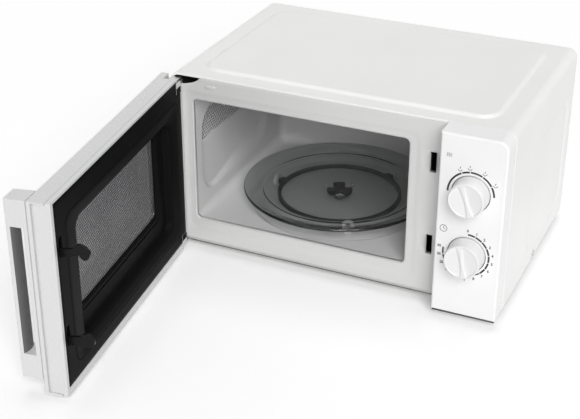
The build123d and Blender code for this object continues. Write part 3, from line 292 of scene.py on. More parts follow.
def new_node(tree, kind, **values):
    """Shader node of a kind, with its sockets set."""
    node = tree.nodes.new("ShaderNode" + kind)
    set_sockets(node, **values)
    return node


def noise(tree, scale, detail=2.0, stretch=(1.0, 1.0, 1.0)):
    """Noise on the object's own coordinates, drawn out along an axis if asked."""
    place = new_node(tree, "TexCoord")
    mapping = new_node(tree, "Mapping", Scale=stretch)
    texture = new_node(tree, "TexNoise", Scale=scale, Detail=detail)
    tree.links.new(place.outputs["Object"], mapping.inputs["Vector"])
    tree.links.new(mapping.outputs["Vector"], texture.inputs["Vector"])
    return texture.outputs["Fac"]


def bands(tree, scale, axis):
    """Even stripes along one axis of the object's coordinates."""
    place = new_node(tree, "TexCoord")
    texture = new_node(tree, "TexWave", Scale=scale, Distortion=0.15)
    texture.bands_direction = axis
    tree.links.new(place.outputs["Object"], texture.inputs["Vector"])
    return texture.outputs["Fac"]


def blend_colours(tree, factor, first, second, socket):
    """Ramp from one colour to another, into a socket."""
    ramp = new_node(tree, "ValToRGB")
    for stop, place, colour in zip(ramp.color_ramp.elements, (0.3, 0.7), (first, second)):
        stop.position = place
        stop.color = (*colour, 1.0)
    tree.links.new(factor, ramp.inputs["Fac"])
    tree.links.new(ramp.outputs["Color"], socket)


def spread(tree, factor, low, high, socket):
    """Number between two limits, into a socket."""
    change = new_node(tree, "MapRange", From_Min=0.3, From_Max=0.7, To_Min=low, To_Max=high)
    tree.links.new(factor, change.inputs["Value"])
    tree.links.new(change.outputs["Result"], socket)


def relief(tree, shader, factor, height, strength):
    """Fine bumps of a height in metres."""
    bump = new_node(tree, "Bump", Distance=height, Strength=strength)
    tree.links.new(factor, bump.inputs["Height"])
    tree.links.new(bump.outputs["Normal"], shader.inputs["Normal"])


def coating(name, tone, gloss, grain, height, strength, tint=(1.0, 1.0, 1.0), shift=0.03,
            metal=0.0, coat=0.0, stretch=(1.0, 1.0, 1.0), mirror=0.5):
    """Paint, moulding or metal: broad change of tone, fine relief and a gloss that varies with it."""
    finish, tree, shader = new_finish(name)
    dark = tuple(tone * (1.0 - shift) * part for part in tint)
    light = tuple(tone * part for part in tint)
    broad = noise(tree, 9.0, 3.0)
    fine = noise(tree, grain, 3.0, stretch)
    blend_colours(tree, broad, dark, light, shader.inputs["Base Color"])
    spread(tree, fine, gloss[0], gloss[1], shader.inputs["Roughness"])
    relief(tree, shader, fine, height, strength)
    set_sockets(shader, Metallic=metal, Specular_IOR_Level=mirror, Coat_Weight=coat, Coat_Roughness=0.06)
    return finish


def clear_glass(name, colour, gloss):
    """Clear or smoked glass with faint waves in its surface."""
    finish, tree, shader = new_finish(name)
    waves = noise(tree, 24.0, 1.0)
    dark = tuple(part * 0.97 for part in colour)
    blend_colours(tree, waves, dark, colour, shader.inputs["Base Color"])
    spread(tree, waves, gloss * 0.6, gloss, shader.inputs["Roughness"])
    relief(tree, shader, waves, 0.0002, 0.015)
    set_sockets(shader, Transmission_Weight=1.0, IOR=1.5)
    return finish


def striped(name, first, second, scale, axis, gloss, metal):
    """Stacked sheets or turns of wire, as stripes of two tones with their relief."""
    finish, tree, shader = new_finish(name)
    stripes = bands(tree, scale, axis)
    blend_colours(tree, stripes, first, second, shader.inputs["Base Color"])
    spread(tree, stripes, gloss[0], gloss[1], shader.inputs["Roughness"])
    relief(tree, shader, stripes, 0.0003, 0.6)
    set_sockets(shader, Metallic=metal)
    return finish


warm_white = (1.0, 1.0, 0.99)
finishes = {
    "casing_white": coating("casing_paint", 0.87, (0.28, 0.36), 900.0, 0.00012, 0.10, warm_white, coat=0.2),
    "cavity_grey": coating("cavity_enamel", 0.66, (0.30, 0.38), 500.0, 0.00008, 0.06, mirror=0.2),
    "panel_white": coating("panel_plastic", 0.90, (0.26, 0.34), 1500.0, 0.00008, 0.08),
    "knob_white": coating("knob_plastic", 0.83, (0.30, 0.38), 1500.0, 0.00008, 0.08),
    "door_white": coating("door_plastic", 0.70, (0.24, 0.32), 1300.0, 0.00008, 0.08),
    "door_black": coating(
        "choke_plastic", 0.008, (0.36, 0.45), 1100.0, 0.0001, 0.10, shift=0.2, mirror=0.02),
    "latch_black": coating(
        "latch_plastic", 0.008, (0.24, 0.34), 1200.0, 0.0001, 0.15, shift=0.2, mirror=0.12),
    "grip_grey": coating("grip_plastic", 0.14, (0.40, 0.52), 1000.0, 0.00015, 0.2, shift=0.12),
    "screen_black": coating("screen_paint", 0.026, (0.35, 0.48), 1400.0, 0.0001, 0.2, shift=0.2),
    "smoked_glass": clear_glass("smoked_pane", (0.40, 0.40, 0.41), 0.03),
    "plate_glass": clear_glass("plate_clear", (0.78, 0.795, 0.79), 0.02),
    "lamp_glass": clear_glass("lamp_clear", (0.97, 0.95, 0.90), 0.05),
    "roller_grey": coating(
        "roller_plastic", 0.012, (0.34, 0.44), 900.0, 0.0001, 0.2, shift=0.15, mirror=0.3),
    "zinc_steel": coating(
        "zinc_plate", 0.62, (0.26, 0.42), 380.0, 0.0001, 0.15, (1.0, 1.0, 0.98), 0.12, metal=1.0),
    "core_steel": striped(
        "core_sheets", (0.20, 0.19, 0.18), (0.36, 0.35, 0.34), 280.0, "Y", (0.4, 0.55), 0.9),
    "copper_winding": striped(
        "copper_turns", (0.42, 0.17, 0.07), (0.75, 0.38, 0.18), 220.0, "Z", (0.25, 0.4), 1.0),
    "aluminium_can": coating(
        "aluminium_drawn", 0.76, (0.26, 0.4), 300.0, 0.0001, 0.2, shift=0.08, metal=1.0,
        stretch=(1.0, 1.0, 0.06)),
    "mica_tan": coating("mica_sheet", 0.62, (0.45, 0.6), 420.0, 0.0002, 0.3, (1.0, 0.88, 0.70), 0.15),
    "switch_grey": coating("switch_plastic", 0.28, (0.4, 0.5), 1000.0, 0.0001, 0.2, shift=0.1),
    "board_green": coating("board_resist", 0.26, (0.3, 0.45), 600.0, 0.0001, 0.2, (0.28, 1.0, 0.5), 0.15),
    "foot_rubber": coating("foot_compound", 0.05, (0.6, 0.75), 800.0, 0.0002, 0.3, shift=0.15),
}
# Darker copy of the casing paint for the front frame: its lower tone is painted shade
shaded_frame_paint = coating("shaded_frame_paint", 0.68, (0.26, 0.34), 900.0, 0.0001, 0.08, warm_white, coat=0.2)
# Near-black finish of the base flange: painted shadow along the gap under the casing
flange_painted_shadow = coating("flange_painted_shadow", 0.06, (0.4, 0.55), 380.0, 0.0001, 0.15, shift=0.12)
# Near-black back coat for the inner faces of the casing and liner, partly painted shade in the body, seen through
# the grille's holes
back_coat_and_shade = coating("back_coat_and_shade", 0.10, (0.5, 0.65), 700.0, 0.0001, 0.1, shift=0.1)
wheel_plastic = coating("wheel_plastic", 0.80, (0.34, 0.44), 1200.0, 0.0001, 0.1)

slot_of_node = {item["node"]: item["material_slot"] for item in frame["record"]["subparts"]}
for node, solid in frame["nodes"].items():
    for holder in solid.material_slots:
        holder.material = finishes[slot_of_node[node]]

# Casing: one wrapped sheet with a raised panel on top, pressed panels in its sides and rolled edges

casing_low, casing_high = corners("outer_casing")
plateau_rise = 3.0
plateau_slope = 5.0
plateau_corner = 26.0
plateau_side_inset = 30.0
plateau_front_inset = 20.0
plateau_rear_inset = 23.0
side_panel_depth = 1.8
side_panel_slope = 5.0
side_panel_corner = 25.0
casing_corner = 12.0
edge_roll = 1.2
edge_proud = 0.5
edge_return = 1.2
foot_flange = 7.0
sheet = 0.6
half_width = casing_high[0]
front_y = casing_low[1]
rear_y = casing_high[1]
base_z = casing_low[2]
cabinet_top = casing_high[2] - plateau_rise
plateau_low = (plateau_side_inset - half_width, front_y + plateau_front_inset)
plateau_high = (half_width - plateau_side_inset, rear_y - plateau_rear_inset)
side_low = (front_y + 95.0, base_z + 22.0)
side_high = (rear_y - 20.0, cabinet_top - 56.0)
# Where the slopes of the panels lie up the side, across the top and along the oven, for closer points there
side_bends = (46.0, 174.0)
top_bends = (-178.0,)
length_bends = (-108.0, 105.0, -35.0)


def casing_section():
    """The wrap's section: from the left foot's flange, up the side, round the corner and over the top.

    Gives each point's place across and up, with the outward direction there, mirrored for the right half.
    """
    roll = np.radians(np.linspace(270, 180, 6))
    bend = np.radians(np.linspace(180, 90, 13))
    levels = spaced(
        base_z + 4.0, cabinet_top - casing_corner - 2.0, side_bends, reach=28.0, fine=1.8, coarse=14.0)
    across = spaced(casing_corner + 2.0 - half_width, 0.0, top_bends, reach=34.0, fine=1.6, coarse=16.0)
    roll_x = edge_roll - half_width
    roll_z = base_z - edge_proud + edge_roll
    bend_x = casing_corner - half_width
    bend_z = cabinet_top - casing_corner
    place_x = np.concatenate([
        [foot_flange - half_width], roll_x + edge_roll * np.cos(roll), np.full(len(levels), -half_width),
        bend_x + casing_corner * np.cos(bend), across])
    place_z = np.concatenate([
        [base_z - edge_proud], roll_z + edge_roll * np.sin(roll), levels,
        bend_z + casing_corner * np.sin(bend), np.full(len(across), cabinet_top)])
    out_x = np.concatenate([
        [0.0], np.cos(roll), np.full(len(levels), -1.0), np.cos(bend), np.zeros(len(across))])
    out_z = np.concatenate([
        [-1.0], np.sin(roll), np.zeros(len(levels)), np.sin(bend), np.ones(len(across))])
    halves = ((place_x, -1.0), (place_z, 1.0), (out_x, -1.0), (out_z, 1.0))
    return [np.concatenate([half, sign * half[-2::-1]]) for half, sign in halves]


def casing_rows():
    """Places from front to rear, with how far the rolled edge turns in at each."""
    turn = np.linspace(np.pi / 2, 0, 6)
    rolled = edge_roll * (1.0 - np.sin(turn))
    turned_in = edge_roll * (1.0 - np.cos(turn))
    body = spaced(front_y + 3.0, rear_y - 3.0, length_bends, reach=32.0, fine=1.7, coarse=13.0)
    near = front_y - edge_proud
    far = rear_y + edge_proud
    inner = edge_roll + edge_return
    along = np.concatenate([[front_y, near], near + rolled, body, far - rolled[::-1], [far, rear_y]])
    inset = np.concatenate([
        [inner, inner], turned_in, np.zeros(len(body)), turned_in[::-1], [inner, inner]])
    return along, inset


def make_casing():
    """Section carried from front to rear, lifted by the raised panel and sunk by the pressed ones."""
    place_x, place_z, out_x, out_z = casing_section()
    along, inset = casing_rows()
    y = along[:, None] + 0.0 * place_x[None, :]
    x = place_x[None, :] - inset[:, None] * out_x[None, :]
    z = place_z[None, :] - inset[:, None] * out_z[None, :]
    lifted = depth_inside(x, y, plateau_low, plateau_high, plateau_corner) / plateau_slope
    pressed = depth_inside(y, z, side_low, side_high, side_panel_corner) / side_panel_slope
    z = z + plateau_rise * smooth_step(lifted) * (out_z > 0.999)[None, :]
    sides = np.sign(out_x) * (np.abs(out_x) > 0.999)
    x = x - side_panel_depth * smooth_step(pressed) * sides[None, :]
    patch = (np.stack([x, y, z], axis=-1), grid_faces(len(along), len(place_x)))
    piece = add_piece("casing_wrap", [patch], "oven", "casing_white", ["outer_casing"])
    # The inner face takes the near-black back coat, partly painted shade
    thicken(piece, sheet, back=back_coat_and_shade)


make_casing()

# Base flange: the turned-down edge of the base, just inside the casing's foot and the panel's, near-black as
# painted shadow in the gap under the casing

flange_gap = 0.1
flange_drop = 2.2
flange_wall = 0.8
flange_corners = ((-201.0, -140.4), (141.6, -140.4), (141.6, -171.6), (218.2, -171.6), (218.2, 140.4),
                  (-218.2, 140.4), (-218.2, -108.0))


def make_base_flange():
    """Upright strip along the base's outline, from the hinge's front side round to its left."""
    route = np.array(flange_corners)
    rows = np.stack([raised(route, base_z - drop) for drop in (flange_gap, flange_drop)])
    patch = (rows, grid_faces(2, len(route))[:, ::-1])
    piece = add_piece("base_flange", [patch], "oven", "zinc_steel", finish=flange_painted_shadow, sharp=30.0)
    thicken(piece, flange_wall)


make_base_flange()

# Front frame: painted sheet about the mouth, with a soft pressed border and a lip rolled into the cavity

frame_low, frame_high = corners("front_frame")
mouth_left = -190.8
mouth_right = 94.2
mouth_bottom = 43.8
mouth_top = 211.3
mouth_corner = 7.0
cutout_left = 148.5
cutout_right = 211.5
cutout_border = 8.0
latch_slot_left = 119.3
latch_slot_right = 128.0
latch_slot_half = 13.15
latch_slot_levels = (78.8, 187.5)
latch_slot_depth = 9.0
hinge_scoop = np.array([40.0, 13.7])
frame_sink = 0.8
edge_corner = 0.5
band_inset = 5.0
band_scoop = 4.0
inner_inset = 8.0
inner_top_inset = 19.0
inner_corner = 2.0
border_depth = 0.9
border_run = 7.0
border_out = np.array([12.4, 14.4, 17.4, 11.4])
border_corner = 11.0
lip_inset = 0.65
lip_roll = 2.2
lip_end = 6.5
dimple_x = -165.0
dimple_z = 230.0
dimple_length = 15.0
dimple_width = 5.0
dimple_proud = 0.9
frame_corner_points = 13
frame_side_points = (12, 12, 12, 12)


def frame_levels(bottom, top):
    """Heights on the right of a ring: the latch slots' own, and those drawn in to the ring's straight."""
    stops = [frame_low[2] + 11.0]
    for level in latch_slot_levels:
        stops.extend([level - latch_slot_half, level + latch_slot_half])
    stops.append(frame_high[2] - 22.0)
    levels = levels_between(stops)
    return levels, drawn_to(levels, bottom, top)


def scooped_corners(left, bottom, top, scoop, corner):
    """Upper left corner on a quarter ellipse about the frame's own corner, and a plain arc below it."""
    reach_x, reach_z = scoop
    start = math.asin((frame_high[2] - top) / reach_z)
    end = math.acos((left - frame_low[0]) / reach_x)
    turn = np.linspace(start, end, frame_corner_points)
    ellipse = np.stack([reach_x * np.cos(turn), -reach_z * np.sin(turn)], axis=1)
    upper = np.array([frame_low[0], frame_high[2]]) + ellipse
    return upper, arc((left + corner, bottom + corner), corner, np.pi, 1.5 * np.pi, frame_corner_points)


def drawn_out_corners(left, bottom, top, corner):
    """Upper left corner whose points mostly lie along the top edge, under the scoop, and an arc below."""
    past_scoop = frame_low[0] + hinge_scoop[0] + 2.0
    run = np.linspace((past_scoop, top), (left + corner, top), frame_corner_points - 4)
    bend = arc((left + corner, top - corner), corner, np.pi / 2, np.pi, 5)[1:]
    lower = arc((left + corner, bottom + corner), corner, np.pi, 1.5 * np.pi, frame_corner_points)
    return np.concatenate([run, bend]), lower


def frame_loop(x0, x1, z0, z1, corner, levels, left_corners=None):
    """Loop with as many points as all the frame's rings have."""
    return rounded_loop(
        x0, x1, z0, z1, corner, frame_corner_points, frame_side_points, levels, left_corners)


def mouth_ring(outs, corner, y):
    """Ring set out from the mouth by its own amount at the left, right, bottom and top."""
    left, right, bottom, top = outs
    z0 = mouth_bottom - bottom
    z1 = mouth_top + top
    levels = frame_levels(z0 + corner, z1 - corner)[1]
    return facing_front(frame_loop(mouth_left - left, mouth_right + right, z0, z1, corner, levels), y)


def frame_rings():
    """Rings from the frame's edge through the slots' band, down the pressed border and round the lip."""
    front = frame_low[1] + frame_sink
    levels = frame_levels(0.0, 1.0)[0]
    rings = []
    for right, inset, grow in ((cutout_left, 0.0, 0.0), (latch_slot_right, band_inset, band_scoop)):
        x0 = frame_low[0] + inset
        z0 = frame_low[2] + inset
        z1 = frame_high[2] - inset
        left_corners = scooped_corners(x0, z0, z1, hinge_scoop + grow, edge_corner)
        loop = frame_loop(x0, right, z0, z1, edge_corner, levels, left_corners)
        rings.append(facing_front(loop, front))
    x0 = frame_low[0] + inner_inset
    z0 = frame_low[2] + inner_inset
    z1 = frame_high[2] - inner_top_inset
    left_corners = drawn_out_corners(x0, z0, z1, inner_corner)
    loop = frame_loop(x0, latch_slot_left, z0, z1, inner_corner, levels, left_corners)
    rings.append(facing_front(loop, front))
    for share in np.linspace(0.0, 1.0, 7):
        depth = border_depth * float(smooth_step(share))
        rings.append(mouth_ring(border_out - border_run * share, border_corner, front + depth))
    sunk = front + border_depth
    for turn in np.linspace(0.0, np.pi / 2, 7):
        out = lip_roll - lip_inset - lip_roll * math.sin(turn)
        y = sunk + lip_roll - lip_roll * math.cos(turn)
        rings.append(mouth_ring((out,) * 4, mouth_corner + out, y))
    rings.append(mouth_ring((-lip_inset,) * 4, mouth_corner - lip_inset, front + lip_end))
    return np.stack(rings)


def make_front_frame():
    """Rings about the mouth, less the latch slots, the slots' walls, a strip by the panel and a dome."""
    points = frame_rings()
    front = points[0, 0, 1]
    columns = points.shape[1]
    faces = grid_faces(points.shape[0], columns, True).reshape(points.shape[0] - 1, columns, 4)
    spans = [(level - latch_slot_half, level + latch_slot_half) for level in latch_slot_levels]
    kept = clear_of_slots(points[1], len(frame_levels(0.0, 1.0)[0]), spans)
    patches = []
    for span in spans:
        patches.append(slot_walls(latch_slot_left, latch_slot_right, span, front, front + latch_slot_depth))
    patches.append((points, np.concatenate([faces[0], faces[1][kept], faces[2:].reshape(-1, 4)])))
    bend = casing_corner - sheet
    outer = np.concatenate([
        [(cutout_left, frame_high[2])],
        arc((frame_high[0] - bend, frame_high[2] - bend), bend, np.pi / 2, 0.0, 7),
        [(frame_high[0], frame_low[2]), (cutout_left, frame_low[2])]])
    inner = np.concatenate([
        [(cutout_left, frame_high[2] - cutout_border)],
        np.full((7, 2), (cutout_right, frame_high[2] - cutout_border)),
        [(cutout_right, frame_low[2] + cutout_border), (cutout_left, frame_low[2] + cutout_border)]])
    strip = np.stack([facing_front(outer, front), facing_front(inner, front)])
    patches.append((strip, grid_faces(2, len(outer))[:, ::-1]))
    middle = np.array([dimple_x, dimple_z])
    half = np.array([dimple_length, dimple_width]) / 2
    oblong = rounded_loop(-half[0], half[0], -half[1], half[1], half[1] - 0.01, 9, (4, 0, 4, 0))
    dome = []
    for share in (1.0, 0.96, 0.85, 0.68, 0.45, 0.2, 0.0):
        proud = dimple_proud * math.sqrt(1.0 - share * share)
        dome.append(facing_front(middle + oblong * share, front - proud))
    patches.append((np.stack(dome), grid_faces(len(dome), len(oblong), True)))
    # The frame takes the darkened copy of the casing paint, which paints the frame's shade
    piece = add_piece(
        "mouth_frame", patches, "oven", "casing_white", ["front_frame"], shaded_frame_paint, sharp=40.0)
    thicken(piece, sheet)


make_front_frame()

# Oven cavity: drawn sheet box with soft corners, a pressed track in its floor and a pocket in its left wall

cavity_low, cavity_high = corners("oven_cavity")
cavity_front = -141.2
cavity_back = cavity_high[1] - sheet
deep_corner = 12.0
corner_run = 60.0
back_round = 10.0
track_radius = 118.0
track_depth = mouth_bottom - cavity_low[2] - sheet
track_slope = 7.0
turntable = np.array(joint("turntable_spin")["pos_m"][:2]) / METRE
spindle_hole = 5.0
pocket_low = (-119.0, 65.8)
pocket_high = (77.0, 185.8)
pocket_corner = 34.0
pocket_depth = 4.0
pocket_slope = 3.0
pocket_fade = 26.0
pocket_fade_run = 140.0
grille_inset = 2.5
grille_reach = 127.0
grille_height = 46.0
grille_step = 0.7
grille_margin = 6.0
grille_slope = 1.6
grille_rim = 1.4


def cavity_ring(inset, corner, y):
    """Loop once round the cavity, set in from its walls."""
    loop = rounded_loop(
        mouth_left + inset, mouth_right - inset, mouth_bottom + inset, mouth_top - inset, corner, 9,
        (48, 84, 142, 60))
    return facing_front(loop, y)


def cavity_rings():
    """Loops from the mouth to the back, whose corners soften on the way, then round into the back wall."""
    rings = []
    bends = (pocket_low[0], pocket_low[0] + grille_reach, pocket_high[0])
    for y in spaced(cavity_front, cavity_back - back_round, bends, reach=8.0, fine=1.0, coarse=2.0):
        grown = float(smooth_step((y - cavity_front) / corner_run))
        rings.append(cavity_ring(0.0, mouth_corner + grown * (deep_corner - mouth_corner), y))
    for turn in np.linspace(0.0, np.pi / 2, 8)[1:]:
        inset = back_round * (1.0 - math.cos(turn))
        y = cavity_back - back_round + back_round * math.sin(turn)
        rings.append(cavity_ring(inset, deep_corner - inset, y))
    middle = rings[-1].mean(axis=0)
    for share in (0.7, 0.35, 0.0):
        rings.append(middle + (rings[-1] - middle) * share)
    return np.stack(rings)


def behind_grille(y, z):
    """Distance inside the grille's outline, below zero outside it."""
    inside = depth_inside(y, z, pocket_low, pocket_high, pocket_corner)
    behind = np.minimum(inside - grille_inset, pocket_low[0] + grille_reach - y)
    return np.minimum(behind, z - pocket_high[1] + grille_height)


def sunk_wall(y, z):
    """Depth of the left wall behind its plane: the pocket, and in it the seat of the grille."""
    inside = depth_inside(y, z, pocket_low, pocket_high, pocket_corner)
    slope = pocket_slope + pocket_fade * smooth_step((y - pocket_low[0]) / pocket_fade_run)
    behind = behind_grille(y, z)
    seat = np.minimum(inside / pocket_slope, (behind + grille_margin) / grille_margin)
    depth = pocket_depth * np.maximum(smooth_step(inside / slope), smooth_step(seat))
    return depth + grille_step * smooth_step((behind + grille_slope) / grille_slope)


def make_cavity():
    """Loops with a pocket in the left wall and a track in the floor, open behind grille and spindle."""
    points = cavity_rings()
    x, y, z = points[..., 0], points[..., 1], points[..., 2]
    walled = y < cavity_back - back_round + 0.01
    on_left = walled & (x < mouth_left + 0.001)
    on_floor = walled & (z < mouth_bottom + 0.001)
    radius = np.hypot(x - turntable[0], y - turntable[1])
    sunk = track_depth * smooth_step((track_radius + 1.0 - radius) / track_slope)
    points = np.stack([x - on_left * sunk_wall(y, z), y, z - on_floor * sunk], axis=-1)
    faces = grid_faces(points.shape[0], points.shape[1], True)
    middles = points.reshape(-1, 3)[faces].mean(axis=1)
    at_spindle = np.hypot(middles[:, 0] - turntable[0], middles[:, 1] - turntable[1]) < spindle_hole
    at_window = behind_grille(middles[:, 1], middles[:, 2]) > grille_rim
    in_wall = middles[:, 0] < mouth_left - pocket_depth / 2
    faces = faces[~((at_spindle & (middles[:, 2] < mouth_bottom)) | (at_window & in_wall))]
    piece = add_piece("cavity_liner", [(points, faces)], "oven", "cavity_grey", ["oven_cavity"], sharp=50.0)
    # The outer face takes the near-black back coat, partly painted shade
    thicken(piece, sheet, back=back_coat_and_shade)


make_cavity()

# Choke cover: the black moulding inside the door, made shut and swung open with the door

cover_low, cover_high = closed_corners("choke_cover")
latch_low, latch_high = closed_corners("latch_lever")
latch_x = (latch_low[0] + latch_high[0]) / 2
cover_slot_half = 3.5
slot_below = 13.6
slot_above = 10.1
cover_skin = 2.5
notch_x = -201.2
notch_low = 25.3
notch_high = 221.7
slot_outer = cover_high[0] - latch_x - cover_slot_half
slot_inner = cover_high[0] - latch_x + cover_slot_half
free_edge_low = 47.0
free_edge_high = 199.0
cover_corner_points = 13
cover_side_points = (8, 8, 8, 8)
# The cover's edge, by one inset for all its sides and a depth
cover_edge = ((0.0, cover_skin), (0.0, 0.9), (0.25, 0.3), (0.9, 0.0))
cover_edge_corner = 0.6
# The rings on the outer and the inner side of the latch slots, by four insets, a corner and the notch's inset
cover_slot_rings = (
    ((5.0, slot_outer, 5.5, 6.0), 1.5, 3.0),
    ((8.5, slot_inner, 11.0, 13.0), 2.0, 5.0))
# Its rim and its sloping mouth, by insets at the left, right, bottom and top, a corner, and a depth
cover_rim = (
    ((10.6, 21.4, 15.4, 23.4), 14.0, 0.0),
    ((11.1, 21.9, 15.9, 23.9), 14.0, 0.9),
    ((11.8, 22.6, 16.6, 24.6), 14.0, 0.15),
    ((12.8, 23.6, 17.6, 25.6), 14.0, 0.0))
cover_mouth = (
    ((17.0, 29.0, 20.0, 30.0), 14.5, 0.4),
    ((30.0, 46.0, 26.5, 40.0), 15.5, 2.6),
    ((33.0, 50.0, 28.6, 42.5), 16.0, 3.3),
    ((34.6, 52.0, 29.7, 43.7), 16.0, 4.6),
    ((35.2, 52.7, 30.3, 44.3), 15.6, 8.0),
    ((35.8, 53.4, 30.9, 44.7), 15.0, 10.8),
    ((37.0, 54.6, 32.1, 45.1), 14.0, 11.8),
    ((39.5, 56.0, 35.0, 45.6), 12.5, 12.0))
# The recess's outer edge and the window, by the same four insets and a corner
cover_floor = np.array((39.5, 56.0, 35.0, 45.6, 12.5))
cover_window = np.array((65.0, 65.5, 64.0, 49.0, 6.0))
# Share of the way from that edge to the window, and the depth there, over two ridges
cover_ridges = (
    (0.60, 12.0), (0.63, 10.8), (0.66, 10.6), (0.70, 10.8), (0.73, 12.0), (0.82, 12.0), (0.85, 10.8),
    (0.88, 10.6), (0.92, 10.8), (0.95, 12.0), (0.985, 12.1), (1.0, 12.5), (1.0, 14.0))


def in_door(points):
    """Points of the shut door, swung to where it stands open."""
    return swing(np.asarray(points, dtype=float), -open_angle)


def cover_levels():
    """Heights of the points on the cover's free edge, with both latch slots among them."""
    stops = [free_edge_low]
    for level in latch_slot_levels:
        stops.extend([level - slot_below, level + slot_above])
    stops.append(free_edge_high)
    return levels_between(stops)


def cover_ring(insets, corner, depth, levels, notch_inset=None):
    """Ring of the cover set in from its left, right, bottom and top edges, at a depth below its face."""
    left, right, bottom, top = insets
    x0 = cover_low[0] + left
    z0 = cover_low[2] + bottom
    z1 = cover_high[2] - top
    left_corners = None
    if notch_inset is not None:
        notch = (notch_x + notch_inset, notch_low + notch_inset, notch_high - notch_inset)
        left_corners = stepped_corners(x0, z0, z1, notch, cover_corner_points)
    outline = rounded_loop(
        x0, cover_high[0] - right, z0, z1, corner, cover_corner_points, cover_side_points, levels,
        left_corners)
    return facing_front(outline, cover_high[1] - depth)


def make_choke_cover():
    """Rings from the cover's edge to the window: rim, groove, sloping mouth, recess and two ridges."""
    levels = cover_levels()
    rings = []
    for inset, depth in cover_edge:
        rings.append(cover_ring((inset,) * 4, cover_edge_corner, depth, levels, inset))
    slot_row = len(rings)
    for insets, corner, notch_inset in cover_slot_rings:
        rings.append(cover_ring(insets, corner, 0.0, levels, notch_inset))
    for insets, corner, depth in cover_rim:
        rings.append(cover_ring(insets, corner, depth, levels))
    inner = list(cover_mouth)
    for share, depth in cover_ridges:
        drawn = cover_floor + share * (cover_window - cover_floor)
        inner.append((drawn[:4], drawn[4], depth))
    for insets, corner, depth in inner:
        fitted = drawn_to(levels, cover_low[2] + insets[2] + corner, cover_high[2] - insets[3] - corner)
        rings.append(cover_ring(insets, corner, depth, fitted))
    points = np.stack(rings)
    faces = grid_faces(points.shape[0], points.shape[1], True).reshape(len(rings) - 1, -1, 4)
    spans = [(level - slot_below, level + slot_above) for level in latch_slot_levels]
    kept = clear_of_slots(points[slot_row], len(levels), spans)
    faces = np.concatenate([
        faces[:slot_row].reshape(-1, 4), faces[slot_row][kept], faces[slot_row + 1:].reshape(-1, 4)])
    patches = [(in_door(points), faces[:, ::-1])]
    for span in spans:
        front = cover_high[1]
        walls, wall_faces = slot_walls(
            latch_x - cover_slot_half, latch_x + cover_slot_half, span, front, front - cover_skin)
        patches.append((in_door(walls), wall_faces))
    add_piece("choke_moulding", patches, "door", "door_black", ["choke_cover"])


make_choke_cover()

# Boss tabs: thin black plates in the cover's two notches

tab_proud = 0.5
tab_edge = 0.2
tab_corner = 0.4
tab_room = 0.1
upper_tab_top = 229.5
lower_tab_bottom = 17.5


def make_boss_tab(name, low, high):
    """Thin black plate over a hinge boss: its edge, a small chamfer, and a face closed at its middle."""
    rings = []
    middle = np.array([(cover_low[0] + notch_x) / 2, cover_high[1] + tab_proud, (low + high) / 2])
    for inset, proud in ((0.0, 0.0), (0.0, tab_proud - tab_edge), (tab_edge, tab_proud)):
        loop = rounded_loop(
            cover_low[0] + inset, notch_x - inset, low + inset, high - inset, tab_corner, 5, (4, 4, 4, 4))
        rings.append(facing_front(loop, cover_high[1] + proud))
    rings.append(middle + 0.0 * rings[-1])
    points = in_door(np.stack(rings))
    faces = grid_faces(len(rings), points.shape[1], True)[:, ::-1]
    add_piece(name, [(points, faces)], "door", "door_black")


make_boss_tab("upper_boss_tab", notch_high - tab_room, upper_tab_top)
make_boss_tab("lower_boss_tab", lower_tab_bottom, notch_low + tab_room)

# Latch spring: turns of wire above the latch lever

spring_low, spring_high = closed_corners("latch_spring")
spring_turns = 7
spring_wire = 0.5
spring_steps = 24
wire_sides = 10


def make_spring():
    """A small circle carried round a circle while it climbs, capped by a fan at both ends."""
    middle = (spring_low + spring_high) / 2
    bend = (spring_high[0] - spring_low[0]) / 2 - spring_wire
    steps = spring_steps * spring_turns + 1
    share = np.clip(np.arange(-1, steps + 1) / (steps - 1), 0.0, 1.0)[:, None]
    turn = 2 * np.pi * spring_turns * share
    climb = spring_low[2] + spring_wire + share * (spring_high[2] - spring_low[2] - 2 * spring_wire)
    around = np.linspace(0, 2 * np.pi, wire_sides, endpoint=False)[None, :]
    width = np.full((steps + 2, 1), spring_wire)
    width[[0, -1]] = 0.0
    reach = bend + width * np.cos(around)
    points = np.stack([middle[0] + reach * np.cos(turn), middle[1] + reach * np.sin(turn),
                       climb + width * np.sin(around)], axis=-1)
    patch = (in_door(points), grid_faces(steps + 2, wire_sides, True))
    slot = slot_of_node["latch_spring"]
    piece = add_piece("latch_coil", [patch], "door", slot, ["latch_spring"], sharp=60.0, outward=True)
    head = in_door(np.array([middle[0], middle[1], spring_high[2]])) * METRE
    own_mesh(piece)


make_spring()

# Screen: black sheet with rows of small holes, set half a step apart

screen_low, screen_high = closed_corners("perforated_screen")
screen_border = 8.0
hole_pitch = 3.6
hole_rise = 3.1
hole_radius = 1.15


